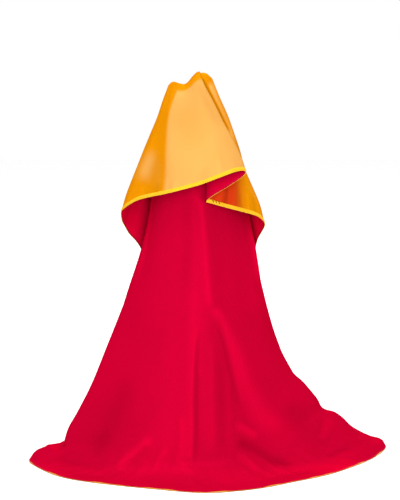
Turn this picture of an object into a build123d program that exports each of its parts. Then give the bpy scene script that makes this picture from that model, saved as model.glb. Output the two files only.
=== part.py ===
from build123d import *
import os
from math import cos, hypot, radians, sin

os.makedirs("parts", exist_ok=True)

# A two-layer satin cape held up by one hand.  The hand grips it below the
# middle of its top (neck) edge, so the top falls over towards the front with
# its gold lining outwards, wraps round both sides and runs down behind as two
# lapels.  Under it the body hangs as a flared skirt, open at the back, and its
# lower part trails on the floor.
# Frame: origin in the middle of the floor that the hem covers, +Z up, the
# front faces -Y, +X to the viewer's right.  Millimetres.

# ---------------------------------------------------------------- dimensions
SATIN = 0.6            # thickness of one layer of satin
LOFT = 0.6             # air and seam allowance between the two layers
TAPE = 0.4             # thickness of the stay tape sewn between the layers
BAND = 9.0             # width of the stay tape along the neck edge
RIDGE_X, RIDGE_Z = -15.0, 826.5   # highest point of the gripped fold
RIDGE_CENTRE = -35.0   # middle of the gripped fold, along X
RIDGE_HALF = 47.0      # half the width of the gripped fold
RIDGE_DEPTH = 16.0     # half its depth, front to back
HOOK = 7.0             # how far the fold turns inwards over the top
FRAME_X = 6.1          # X of the middle of the hem before it is put at 0
FRAME_Y = -0.6         # and Y
CLEAR = 0.6            # half the gap between the turned-over top and the lapels
HALF = SATIN + LOFT / 2            # from the middle of the two layers to a face
TAB_W, TAB_L, TAB_T = 25.0, 40.0, 1.2   # hook-and-loop tabs at the neck corners
TAB_R = 4.0            # their corner radius
STITCH_L, STITCH_D = 5.0, 0.9      # hand stitches that close the turning gap
STITCH_N, STITCH_PITCH = 3, 6.3
STITCH_RISE = 7.0      # below the middle of the last stretch of the profile

# Profile tables: one vertical profile per direction, as (share of the plan
# distance from the ridge to the hem, height), from the ridge down.  The last
# stretch of the front ones lies flat on the floor.
FRONT = [(0, 806), (.085, 700), (.13, 600), (.18, 460), (.23, 360), (.286, 250),
         (.357, 150), (.43, 70), (.50, 30), (.64, 8), (.79, HALF), (1, HALF)]
FRONT_LEFT = [(0, 802), (.08, 700), (.125, 600), (.18, 460), (.25, 360),
              (.33, 250), (.42, 150), (.51, 70), (.58, 33), (.70, 10),
              (.83, HALF), (1, HALF)]
FRONT_RIGHT = [(0, 802), (.09, 700), (.145, 600), (.205, 460), (.255, 360),
               (.32, 250), (.39, 165), (.48, 85), (.56, 40), (.69, 14),
               (.83, HALF), (1, HALF)]
LEFT = [(0, 789), (.06, 700), (.115, 600), (.179, 460), (.30, 360), (.443, 250),
        (.579, 150), (.70, 80), (.745, 42), (.80, 28), (.925, 19), (1, HALF)]
RIGHT = [(0, 795), (.09, 700), (.17, 600), (.248, 460), (.293, 360), (.372, 250),
         (.445, 190), (.58, 130), (.62, 100), (.72, 82), (.86, 46), (1, HALF)]
BACK = [(0, 792), (.10, 700), (.18, 600), (.30, 460), (.38, 360), (.47, 250),
        (.57, 150), (.67, 70), (.74, 30), (.84, 8), (.92, HALF), (1, HALF)]

# Body of the cape: (angle on the ridge, hem point x, y), from the back-left
# hem corner round the front to the back-right one.
BODY = [(112, -85, 285), (130, -190, 262), (147, -290, 200), (164, -352, 112),
        (180, -378, 17.6), (200, -355, -60), (220, -290, -160.3), (238, -195, -220),
        (255, -100, -261), (270, -10, -291.5), (288, 90, -262), (303, 174.5, -195.1),
        (318, 250, -127), (332, 318, -32), (346, 361.5, 50.5), (360, 389.4, 169.5),
        (376, 350, 235), (392, 270, 272), (408, 180, 290), (425, 100, 287)]
BODY_KEYS = [(0, BACK), (4, LEFT), (6, FRONT_LEFT), (9, FRONT), (12, FRONT_RIGHT),
             (15, RIGHT), (19, BACK)]

# Turned-over top: (angle on the ridge, neck edge point x, y, z), from the left
# side round the front to the right side.  The pleat near the middle is closed:
# the edge steps down where its inner fold would be.
TOP = [(180, -180, 0, 531.5), (196, -172, -38, 549), (212, -148, -68, 567),
       (228, -110, -84, 577), (244, -60, -91, 588), (258, -25, -92, 597),
       (268, -4, -92, 603), (272, 1, -92, 567), (288, 32, -84, 557),
       (306, 66, -68, 546), (326, 98, -42, 528), (345, 115, -18, 515),
       (360, 119.8, 0, 510.5)]
TOP_LEFT = [(0, 0), (.11, .123), (.24, .263), (.385, .395), (.535, .527),
            (.685, .667), (.857, .823), (1, 1)]
TOP_FRONT = [(0, 0), (.25, .12), (.42, .26), (.56, .40), (.68, .53), (.80, .67),
             (.91, .83), (1, 1)]
TOP_RIGHT = [(0, 0), (.17, .15), (.32, .27), (.47, .40), (.565, .53), (.67, .66),
             (.86, .82), (1, 1)]

# Lapels: (angle on the ridge, foot x, y that the profile aims at on the floor,
# share of the BACK profile in it, height of the cloth's edge).  The neck
# corner is the fourth one.  Below it the edge is the side edge of the cape,
# and the last one lies against the end of the body, at the back fold.
LAPEL_LEFT = [(180, -375, 0, 0, 531.5), (166, -350, 110, .1, 503),
              (152, -300, 205, .25, 455), (140, -235, 262, .45, 402),
              (132, -190, 283, .6, 320), (124, -150, 289, .75, 220),
              (117, -118, 290, .9, 110), (112, -91, 288.5, 1, 12)]
LAPEL_RIGHT = [(0, 304, 0, 0, 510.5), (14, 320, 110, .1, 488),
               (28, 290, 205, .25, 450), (40, 240, 262, .45, 402),
               (48, 200, 283, .6, 320), (56, 165, 289, .75, 220),
               (63, 134, 290, .9, 110), (67, 106, 290, 1, 12)]
NECK_CORNER = 3        # its place in both tables
LEVELS = 10


# ---------------------------------------------------------------- geometry
def ridge_height(x):
    """Top of the gripped fold: highest a little right of its middle."""
    if x < RIDGE_X:
        return RIDGE_Z - 27.0 * ((RIDGE_X - x) / 67.0) ** 1.4
    return RIDGE_Z - 16.0 * ((x - RIDGE_X) / 27.0) ** 1.8


def on_ridge(angle, inset=0.0):
    """Plan point on the ridge, which is a flat ellipse open at the back."""
    return (RIDGE_CENTRE + (RIDGE_HALF - inset) * cos(radians(angle)),
            (RIDGE_DEPTH - inset) * sin(radians(angle)))


def mix(a, b, w):
    return [tuple(p + (q - p) * w for p, q in zip(u, v)) for u, v in zip(a, b)]


def at_index(keys, i):
    for (i0, a), (i1, b) in zip(keys, keys[1:]):
        if i0 <= i <= i1:
            return mix(a, b, (i - i0) / (i1 - i0))
    return keys[-1][1]


def section(top, foot, profile):
    """A vertical plane through two plan points, and the profile in it."""
    (x0, y0), (x1, y1) = top, foot
    run = hypot(x1 - x0, y1 - y0)
    plane = Plane(origin=(x0 - FRAME_X, y0 - FRAME_Y, 0),
                  x_dir=((x1 - x0) / run, (y1 - y0) / run, 0),
                  z_dir=((y1 - y0) / run, -(x1 - x0) / run, 0))
    return plane, [(s * run, z) for s, z in profile]


def strip(points, low, high):
    """Closed outline of a layer between two distances from a profile.

    Distances are positive on the outer side of the cloth."""
    normals = []
    for (x0, y0), (x1, y1) in zip(points, points[1:]):
        d = hypot(x1 - x0, y1 - y0)
        normals.append((-(y1 - y0) / d, (x1 - x0) / d))
    near, far = [], []
    for i, (x, y) in enumerate(points):
        a = normals[max(i - 1, 0)]
        b = normals[min(i, len(normals) - 1)]
        nx, ny = a[0] + b[0], a[1] + b[1]
        k = 2.0 / (nx * nx + ny * ny)
        near.append((x + nx * k * low, y + ny * k * low))
        far.append((x + nx * k * high, y + ny * k * high))
    return near + far[::-1]


def edge_band(points, width, setback=1.0):
    """The last stretch of a profile, just inside the cloth's edge."""
    (x1, y1), (x0, y0) = points[-1], points[-2]
    d = hypot(x1 - x0, y1 - y0)
    ux, uy = (x0 - x1) / d, (y0 - y1) / d
    return [(x1 + ux * (width + setback), y1 + uy * (width + setback)),
            (x1 + ux * setback, y1 + uy * setback)]


def hooked(profile, top):
    """Adds the turn over the ridge to the top of an outer profile."""
    first, *rest = profile
    return [(-HOOK, top - 3.5), (-HOOK * .8, top - 1.1), (-HOOK * .45, top),
            (-HOOK * .1, top - 1.4), (first[0], first[1] - 4)] + rest


def height_share(table, z):
    """Share of the plan distance that a profile table has at a height."""
    for (g0, z0), (g1, z1) in zip(table, table[1:]):
        if z1 <= z <= z0:
            return g0 + (g1 - g0) * (z0 - z) / (z0 - z1 or 1)
    return table[0][0] if z > table[0][1] else table[-1][0]


def body_sections():
    return [section(on_ridge(angle, inset=HOOK), (hx, hy), at_index(BODY_KEYS, i))
            for i, (angle, hx, hy) in enumerate(BODY)]


def top_sections():
    out = []
    for i, (angle, ex, ey, ez) in enumerate(TOP):
        x, y = on_ridge(angle)
        top = ridge_height(x)
        shape = at_index([(0, TOP_LEFT), (5, TOP_FRONT), (12, TOP_RIGHT)], i)
        plane, profile = section((x, min(y, -CLEAR)), (ex, min(ey, -CLEAR)),
                                 [(s, top - 3 - (top - 3 - ez) * d) for s, d in shape])
        out.append((plane, hooked(profile, top)))
    return out


def lapel_sections(table):
    out = []
    for angle, fx, fy, share, edge in table:
        x, y = on_ridge(angle)
        top = ridge_height(x)
        profile = []
        for k in range(LEVELS):
            z = top - 3 - (top - 3 - edge) * k / (LEVELS - 1)
            straight = 1 - z / (top - 3)
            bent = height_share([(0, top - 3)] + BACK[1:], z)
            profile.append((straight + (bent - straight) * share, z))
        plane, profile = section((x, max(y, CLEAR)), (fx, max(fy, CLEAR)), profile)
        out.append((plane, hooked(profile, top)))
    return out


def cloth_section(plane, profile, low, high, smooth=False):
    """The cut through a layer of cloth in one of the vertical planes."""
    outline = strip(profile, low, high)
    with BuildSketch(plane) as cut:
        with BuildLine():
            if smooth:
                near = Spline(*outline[:len(profile)])
                far = Spline(*outline[len(profile):])
                Line(near @ 1, far @ 0)
                Line(far @ 1, near @ 0)
            else:
                Polyline(*outline, close=True)
        make_face()
    return cut.sketch


def spans(sections, low, high, smooth=False):
    """Neighbouring cuts, two at a time: each pair is one span of the cloth."""
    cuts = [cloth_section(plane, profile, low, high, smooth)
            for plane, profile in sections]
    return zip(cuts, cuts[1:])


def lying_on(sections, i, j, low, t=0.5):
    """A plane on the cloth between sections i and i+1, at profile point j from
    its edge, offset outwards by low, with X along the cloth and Y up it."""
    (pa, a), (pb, b) = sections[i], sections[i + 1]
    la, lb = strip(a, low, low)[:len(a)], strip(b, low, low)[:len(b)]
    corners = [pa.from_local_coords((*la[-1 - j], 0)), pa.from_local_coords((*la[-2 - j], 0)),
               pb.from_local_coords((*lb[-1 - j], 0)), pb.from_local_coords((*lb[-2 - j], 0))]
    low_point = corners[0] + (corners[2] - corners[0]) * t
    high_point = corners[1] + (corners[3] - corners[1]) * t
    along = (corners[2] + corners[3] - corners[0] - corners[1]).normalized()
    upwards = (high_point - low_point).normalized()
    normal = along.cross(upwards).normalized()
    return Plane(origin=(low_point + high_point) / 2, x_dir=along, z_dir=normal)


BODY_SECTIONS = body_sections()
TOP_SECTIONS = top_sections()
LEFT_SECTIONS = lapel_sections(LAPEL_LEFT)
RIGHT_SECTIONS = lapel_sections(LAPEL_RIGHT)

INNER = (-HALF, -HALF + SATIN)     # layer on the inner side of the pair
OUTER = (HALF - SATIN, HALF)       # layer on the outer side of the pair
BETWEEN = (-TAPE / 2, TAPE / 2)    # stay tape between the layers

# ---------------------------------------------------------------- skirt, root
# Red satin panel, the outer side of the skirt.
with BuildPart() as outer_panel_skirt:
    for pair in spans(BODY_SECTIONS, *OUTER):
        loft(pair, ruled=True, clean=False)
outer_panel_skirt.part.label = "outer_panel_skirt"

# Gold satin lining, the inner side of the skirt.  It lies on the floor.
with BuildPart() as lining_panel_skirt:
    for pair in spans(BODY_SECTIONS, *INNER):
        loft(pair, ruled=True, clean=False)
lining_panel_skirt.part.label = "lining_panel_skirt"

# The lapels: the same two panels, turned outwards along the back folds, so
# that the gold lining is on the outer side.
with BuildPart() as lining_lapel_left:
    for pair in spans(LEFT_SECTIONS, *OUTER, smooth=True):
        loft(pair, ruled=True, clean=False)
lining_lapel_left.part.label = "lining_lapel_left"

with BuildPart() as outer_lapel_left:
    for pair in spans(LEFT_SECTIONS, *INNER, smooth=True):
        loft(pair, ruled=True, clean=False)
outer_lapel_left.part.label = "outer_lapel_left"

with BuildPart() as lining_lapel_right:
    for pair in spans(RIGHT_SECTIONS, *OUTER, smooth=True):
        loft(pair, ruled=True, clean=False)
lining_lapel_right.part.label = "lining_lapel_right"

with BuildPart() as outer_lapel_right:
    for pair in spans(RIGHT_SECTIONS, *INNER, smooth=True):
        loft(pair, ruled=True, clean=False)
outer_lapel_right.part.label = "outer_lapel_right"

# Stay tape along the neck edge, between the layers, out to the neck corners.
with BuildPart() as neck_tape_left:
    for pair in spans([(plane, edge_band(profile, BAND)) for plane, profile in
                       LEFT_SECTIONS[:NECK_CORNER + 1]], *BETWEEN):
        loft(pair, ruled=True, clean=False)
neck_tape_left.part.label = "neck_tape_left"

with BuildPart() as neck_tape_right:
    for pair in spans([(plane, edge_band(profile, BAND)) for plane, profile in
                       RIGHT_SECTIONS[:NECK_CORNER + 1]], *BETWEEN):
        loft(pair, ruled=True, clean=False)
neck_tape_right.part.label = "neck_tape_right"

# Hook and loop tabs that close the cape at the wearer's neck, one sewn to each
# neck corner: the hook tab on the gold side, the loop tab on the red side.
with BuildPart() as hook_tab:
    with BuildSketch(lying_on(LEFT_SECTIONS, NECK_CORNER, 0, 0, .3)
                     .offset(-HALF - 2.4)):
        with Locations((0, 8)):
            RectangleRounded(TAB_L, TAB_W, TAB_R)
    extrude(amount=-TAB_T)
hook_tab.part.label = "hook_tab"

with BuildPart() as loop_tab:
    with BuildSketch(lying_on(RIGHT_SECTIONS, NECK_CORNER, 0, 0, .3)
                     .offset(-HALF - 3.4)):
        with Locations((0, 8)):
            RectangleRounded(TAB_L, TAB_W, TAB_R)
    extrude(amount=-TAB_T)
loop_tab.part.label = "loop_tab"

# ---------------------------------------------------------------- turned top
# Front of the turned-over top: gold lining outside, red satin behind it.
with BuildPart() as lining_turned_top:
    for pair in spans(TOP_SECTIONS, *OUTER):
        loft(pair, ruled=True, clean=False)
lining_turned_top.part.label = "lining_turned_top"

with BuildPart() as outer_turned_top:
    for pair in spans(TOP_SECTIONS, *INNER):
        loft(pair, ruled=True, clean=False)
outer_turned_top.part.label = "outer_turned_top"

with BuildPart() as neck_tape_front:
    for run in (TOP_SECTIONS[:7], TOP_SECTIONS[7:]):
        for pair in spans([(plane, edge_band(profile, BAND)) for plane, profile in run],
                          *BETWEEN):
            loft(pair, ruled=True, clean=False)
neck_tape_front.part.label = "neck_tape_front"

# Hand stitches that close the gap in the neck seam through which the cape was
# turned right side out.  They slant across the edge of the gold lining.
with BuildPart() as turning_gap_stitches:
    with BuildSketch(lying_on(TOP_SECTIONS, 7, 0, HALF + 0.3)):
        with Locations((0, -STITCH_RISE)):
            with GridLocations(STITCH_PITCH, 1, STITCH_N, 1):
                SlotOverall(STITCH_L, STITCH_D, rotation=60)
    extrude(amount=STITCH_D / 2)
turning_gap_stitches.part.label = "turning_gap_stitches"

for piece in (outer_panel_skirt, lining_panel_skirt, lining_lapel_left,
              outer_lapel_left, lining_lapel_right, outer_lapel_right,
              neck_tape_left, neck_tape_right, hook_tab, loop_tab,
              lining_turned_top, outer_turned_top, neck_tape_front,
              turning_gap_stitches):
    export_step(piece.part, "parts/" + piece.part.label + ".step")
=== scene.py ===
"""Satin cape with a gold lining, held up in one place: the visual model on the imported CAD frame. Metres, +Z up."""
import math

import bpy
import numpy as np
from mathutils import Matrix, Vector
from mathutils.bvhtree import BVHTree


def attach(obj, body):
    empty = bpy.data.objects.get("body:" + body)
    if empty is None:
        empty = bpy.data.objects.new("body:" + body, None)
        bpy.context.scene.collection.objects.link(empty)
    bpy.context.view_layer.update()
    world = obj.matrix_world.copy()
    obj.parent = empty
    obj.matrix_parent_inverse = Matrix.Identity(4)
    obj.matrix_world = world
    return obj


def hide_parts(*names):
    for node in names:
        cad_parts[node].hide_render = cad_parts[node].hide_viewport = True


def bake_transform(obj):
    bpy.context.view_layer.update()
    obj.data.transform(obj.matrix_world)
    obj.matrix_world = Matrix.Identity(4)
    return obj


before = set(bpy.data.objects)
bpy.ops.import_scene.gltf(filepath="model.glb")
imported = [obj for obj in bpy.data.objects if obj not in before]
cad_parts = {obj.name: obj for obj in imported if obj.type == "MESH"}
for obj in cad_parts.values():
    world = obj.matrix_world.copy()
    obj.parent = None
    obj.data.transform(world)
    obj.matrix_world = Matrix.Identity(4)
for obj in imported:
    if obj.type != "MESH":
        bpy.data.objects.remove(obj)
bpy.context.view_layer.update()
scene = bpy.context.scene
rng = np.random.default_rng(7)

# ---------------------------------------------------------------------------
# The cape's shape: control columns that run down the cloth, in millimetres.
# The turned-over top and the lapels are the outer wall, the skirt is the inner
# wall, and the two are one closed loop that turns round at the back folds.
# ---------------------------------------------------------------------------
LAPEL_LEFT = [
    [(-58.7, 15.4, 796.5), (-62.3, 40.8, 706.8), (-65.5, 63.8, 605.5), (-68.8, 87.1, 504.3), (-72, 110, 402.9), (-75.1, 132.5, 301.5), (-78.7, 157.7, 200.8), (-82.9, 188, 101.5), (-90.3, 240.3, 12)],
    [(-62.4, 14.9, 797.5), (-67.7, 38.2, 719.1), (-72.4, 59.4, 631.8), (-77.1, 80.4, 544.5), (-81.8, 101.6, 457.3), (-86.5, 122.2, 369.8), (-91.1, 142.9, 282.4), (-96.2, 166, 195.7), (-102.2, 192.5, 110)],
    [(-67.4, 13.9, 798.5), (-74.2, 35, 731.1), (-80.4, 54.2, 658.2), (-86.3, 72.8, 585), (-92.5, 91.9, 512.1), (-98.5, 110.7, 439), (-104.5, 129.2, 365.9), (-110.5, 147.8, 292.8), (-116.8, 167.4, 220)],
    [(-72.5, 12.5, 798.5), (-80.9, 30.9, 741.4), (-88.6, 47.8, 681.4), (-95.9, 63.8, 621.1), (-103.4, 80.1, 560.9), (-110.9, 96.6, 500.8), (-118.3, 112.9, 440.6), (-125.6, 128.9, 380.3), (-132.9, 145, 320)],
    [(-78, 11.2, 796.5), (-85.3, 25.1, 747.9), (-92.4, 38.9, 698.4), (-99.3, 52.3, 648.8), (-105.9, 65.3, 599.3), (-112.1, 77.8, 549.7), (-117.9, 89.8, 500.1), (-123.5, 101.5, 450.6), (-129, 113, 401)],
    [(-80.5, 9, 796.5), (-89, 20.2, 750.7), (-97.4, 31.2, 704.9), (-105.4, 42, 659.1), (-113.1, 52.3, 613.2), (-120.3, 62.2, 567.4), (-127.1, 71.7, 521.6), (-133.6, 80.9, 475.8), (-140, 90, 430)],
    [(-83.5, 7, 795.8), (-93.4, 15.1, 754), (-103.1, 23.2, 712.1), (-112.5, 31, 670.2), (-121.6, 38.6, 628.4), (-130.4, 45.9, 586.6), (-138.8, 53, 544.7), (-147, 59.8, 502.9), (-155, 66.6, 461)],
    [(-85, 5, 795.5), (-96.3, 11.4, 756.1), (-107.5, 17.7, 716.7), (-118.5, 24, 677.3), (-129.3, 30, 637.9), (-139.9, 35.9, 598.4), (-150.3, 41.5, 559), (-160.4, 47.1, 519.6), (-170.5, 52.6, 480.2)],
    [(-86.2, 3.5, 795.5), (-98, 7.5, 758.6), (-109.8, 11.5, 721.8), (-121.6, 15.5, 684.9), (-133.4, 19.5, 648.1), (-145.2, 23.6, 611.2), (-157, 27.6, 574.3), (-168.8, 31.6, 537.5), (-180.6, 35.6, 500.6)],
    [(-86.8, 2, 795.8), (-99.1, 4.1, 760.4), (-111.3, 6.1, 724.9), (-123.6, 8.2, 689.5), (-135.8, 10.3, 654.1), (-148.1, 12.4, 618.7), (-160.4, 14.4, 583.2), (-172.6, 16.5, 547.8), (-184.9, 18.6, 512.4)],
]
FRONT_TOP = [
    [(-87.1, 0.6, 796.2), (-99.4, 0.6, 763.3), (-110.6, 0.6, 729.9), (-124.1, 0.6, 697.3), (-137.6, 0.6, 664.7), (-150.6, 0.6, 631.8), (-163.7, 0.6, 598.8), (-176.2, 0.6, 565.6), (-186.1, 0.6, 531.5)],
    [(-86, -3.4, 798.5), (-97.6, -6.8, 766.8), (-108.3, -9.6, 734.7), (-120.6, -12.1, 703.1), (-132.9, -14.5, 671.5), (-144.9, -16.8, 639.8), (-157.1, -19.1, 608.1), (-169, -21.3, 576.3), (-178.8, -23.4, 543.7)],
    [(-81.4, -7.4, 802.3), (-91.6, -14.9, 772.8), (-101, -20.9, 743), (-110.3, -26.5, 713.1), (-119, -31.8, 683.1), (-127.3, -36.9, 653), (-135.9, -41.9, 622.9), (-144.6, -46.7, 592.9), (-152.6, -51.4, 562.6)],
    [(-72, -9.9, 804.1), (-81.8, -21.7, 776.4), (-90.6, -31.1, 748.4), (-96.8, -39.9, 719.7), (-101, -48.2, 690.6), (-104.9, -56.2, 661.6), (-108.7, -63.9, 632.5), (-113, -71.5, 603.6), (-117.9, -78.9, 574.7)],
    [(-64.8, -10.9, 800), (-75.1, -24, 773.9), (-84.1, -34.6, 747.3), (-88.8, -44.4, 719.7), (-90.7, -53.6, 691.7), (-92, -62.5, 663.6), (-92.8, -71.2, 635.6), (-94, -79.6, 607.7), (-96.2, -87.9, 579.8)],
    [(-59.6, -11.6, 798.4), (-69, -25.3, 772.7), (-76.9, -36.3, 746.4), (-80.8, -46.5, 719.3), (-82, -56.1, 692), (-82.5, -65.5, 664.6), (-82.7, -74.5, 637.4), (-83.2, -83.3, 610.1), (-84.8, -91.9, 582.9)],
    [(-51.3, -12.9, 798.4), (-56.6, -26.9, 772.9), (-59.9, -38.1, 747), (-60.3, -48.5, 720.8), (-58.9, -58.4, 694.8), (-56.9, -67.9, 668.8), (-54.8, -77.1, 642.8), (-53.7, -86.1, 616.8), (-54, -94.9, 590.9)],
    [(-41.9, -13.6, 805.3), (-42, -27.6, 779.5), (-40.1, -38.8, 753.7), (-36.8, -49.1, 728.1), (-32.5, -59, 702.6), (-27.7, -68.5, 677.3), (-23.1, -77.7, 652), (-20.2, -86.6, 626.5), (-19.2, -95.4, 600.8)],
    [(-34, -13.9, 815.7), (-28.9, -27.3, 790.1), (-21.6, -38.1, 765), (-14.3, -48, 739.9), (-6.8, -57.5, 715), (1.4, -66.5, 690.2), (9.2, -75.4, 665.4), (14.8, -84, 640.1), (17.8, -92.4, 614.3)],
    [(-26.8, -13.6, 820.6), (-18.2, -25.8, 795.8), (-7, -35.5, 771.8), (3.6, -44.6, 747.7), (14.3, -53.2, 723.6), (26, -61.4, 700), (37.6, -69.4, 676.4), (47.1, -77.2, 651.9), (53.7, -84.9, 626.6)],
    [(-22.7, -12.6, 821.4), (-12.6, -23.9, 796.5), (0.1, -33, 772.8), (12.1, -41.4, 748.8), (24, -49.4, 724.7), (36.9, -57.1, 701.2), (49.8, -64.5, 677.7), (60.4, -71.8, 653.2), (68.2, -78.9, 627.6)],
    [(-20.6, -11.4, 820.7), (-10, -22.2, 795.6), (3.3, -30.9, 771.7), (15.7, -39, 747.3), (27.9, -46.6, 722.9), (41.3, -54, 699.1), (54.5, -61.1, 675.3), (65.4, -68.1, 650.3), (73.4, -74.9, 624.4)],
    [(-22, -10, 819.6), (-11.8, -20.5, 793.7), (1, -29, 768.8), (12.9, -36.8, 743.6), (24.9, -44.2, 718.3), (37.8, -51.3, 693.6), (50.4, -58.2, 668.8), (60.7, -65, 642.9), (68.4, -71.6, 616.2)],
    [(-22.9, -8.6, 818.3), (-17.3, -18.4, 789.9), (-9.2, -26.2, 762), (-0.9, -33.5, 734.2), (8, -40.4, 706.6), (17.8, -47, 679.3), (27.3, -53.5, 652), (35, -59.8, 624.1), (40.7, -65.9, 595.7)],
    [(-23.5, -7.2, 817), (-24.1, -16.5, 785.9), (-22.1, -24, 754.9), (-18.9, -31, 724), (-14.7, -37.5, 693.2), (-9.7, -43.9, 662.5), (-5.2, -50, 631.7), (-2, -56, 600.8), (-0.5, -61.9, 569.8)],
    [(-23.9, -5.8, 816.1), (-25.2, -14.9, 784.3), (-23.9, -22.1, 752.5), (-21.4, -28.9, 720.7), (-18, -35.3, 689), (-13.9, -41.4, 657.4), (-10.4, -47.4, 625.8), (-8.3, -53.2, 594), (-7.8, -58.9, 562.2)],
    [(-22, -4.6, 816), (-8.7, -13.4, 785.5), (3.5, -20.4, 754.5), (11, -26.9, 722.1), (15, -33.1, 689.1), (16.5, -39, 655.8), (15.7, -44.8, 622.6), (10.7, -50.4, 589.7), (1.6, -55.9, 557.7)],
    [(-16, -3.9, 818.9), (-2.7, -11.7, 786.8), (10.3, -17.9, 754.5), (19.5, -23.7, 721), (26, -29.1, 686.9), (30.6, -34.4, 652.4), (34.7, -39.5, 617.9), (35, -44.5, 583.2), (30.6, -49.4, 548.7)],
    [(-8.1, -3.4, 818.8), (5.8, -8.9, 785), (20.3, -13.4, 751.4), (31.7, -17.5, 716.6), (41.3, -21.4, 681.2), (48.8, -25.2, 645.3), (58.7, -28.8, 610), (66.2, -32.4, 574), (68.1, -35.9, 537.4)],
    [(-0.4, -2.4, 814.4), (14.2, -4.8, 779.2), (29.8, -6.7, 744.3), (42.9, -8.5, 708.4), (54.7, -10.2, 672), (64.6, -11.8, 635), (78.5, -13.4, 599.2), (91.9, -14.9, 563.1), (99.8, -16.4, 525.5)],
    [(4.8, 0.6, 808.6), (19.9, 0.6, 772.1), (36, 0.6, 736), (49.6, 0.6, 698.8), (62.1, 0.6, 661.1), (72.6, 0.6, 622.7), (88.3, 0.6, 586), (103.6, 0.6, 549.1), (113.7, 0.6, 510.5)],
]
LAPEL_RIGHT = [
    [(5, 2, 809), (18.6, 4.3, 770.2), (32.2, 6.6, 731.4), (45.8, 9, 692.6), (59.4, 11.3, 653.8), (73, 13.6, 615), (86.6, 15.9, 576.2), (100.2, 18.3, 537.4), (113.8, 20.6, 498.6)],
    [(4.5, 4, 810), (17.6, 8.6, 769.6), (30.8, 13.1, 729.3), (43.9, 17.7, 688.9), (57, 22.3, 648.5), (70.1, 26.9, 608.1), (83.2, 31.4, 567.8), (96.4, 36, 527.4), (109.5, 40.6, 487)],
    [(3, 6.2, 811.2), (16.2, 13.6, 768.3), (29.2, 20.9, 725.4), (42, 28, 682.5), (54.4, 34.9, 639.6), (66.5, 41.5, 596.7), (78.2, 47.8, 553.8), (89.7, 54, 510.9), (101, 60, 468)],
    [(0.5, 8.2, 812.5), (13.5, 18.9, 765.9), (26.4, 29.4, 719.4), (38.9, 39.6, 672.8), (51, 49.4, 626.2), (62.8, 58.8, 579.7), (74.1, 67.8, 533.1), (85.1, 76.5, 486.6), (96, 85, 440)],
    [(-4, 10.5, 812.5), (9, 24.4, 762.4), (21.9, 38.1, 710.8), (34.6, 51.5, 659.1), (46.9, 64.5, 607.5), (58.8, 76.9, 555.9), (70.4, 88.9, 504.2), (81.8, 100.5, 452.6), (93, 112, 401)],
    [(-9.7, 12.5, 814.0), (3.5, 30.1, 754.5), (16, 46.6, 692.4), (28.2, 62.9, 630.3), (40.7, 79.5, 568.2), (53.3, 96.3, 506.3), (65.8, 113, 444.3), (78.1, 129.3, 382.1), (90.4, 145.8, 320)],
    [(-14.8, 13.9, 815.0), (-2.3, 33.7, 743.8), (9.6, 52.6, 668.8), (21.5, 71.5, 593.9), (33.7, 90.8, 519.2), (45.8, 110.1, 444.4), (57.6, 128.9, 369.4), (69.5, 147.8, 294.5), (82.1, 167.8, 220)],
    [(-19.8, 14.9, 815.0), (-8.1, 36.6, 730.6), (3, 57.5, 641.4), (14.4, 78.7, 552.4), (26, 100.4, 463.5), (37.3, 121.4, 374.4), (48.5, 142.3, 285.3), (61, 165.7, 197), (75.4, 192.6, 110)],
    [(-22.7, 15.3, 813.0), (-12.1, 39.2, 716.4), (-1.9, 62.2, 613.3), (8.8, 86, 510.4), (19.2, 109.5, 407.4), (29.5, 132.5, 304.3), (40.9, 158.1, 201.9), (54.7, 189.2, 101.3), (78, 241.6, 12)],
]
FOLD_LEFT = [
    [(-52.1, 13.9, 791), (-55.6, 38.6, 700), (-58.4, 60.7, 600), (-62.6, 93.9, 460), (-65.4, 116.1, 360), (-68.5, 141, 250), (-72, 168.6, 150), (-75.5, 196.3, 70), (-78, 215.7, 30), (-81.5, 243.3, 8), (-84.3, 265.5, 0.9), (-87.1, 287.6, 0.9)],
]
FOLD_RIGHT = [
    [(-28.2, 13.8, 803), (-16.4, 38.6, 700), (-6.9, 60.9, 600), (7.2, 94.4, 460), (16.7, 116.7, 360), (27.3, 141.8, 250), (39.1, 169.7, 150), (50.9, 197.6, 70), (59.2, 217.1, 30), (71, 245, 8), (80.5, 267.3, 0.9), (89.9, 289.6, 0.9)],
]
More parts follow.
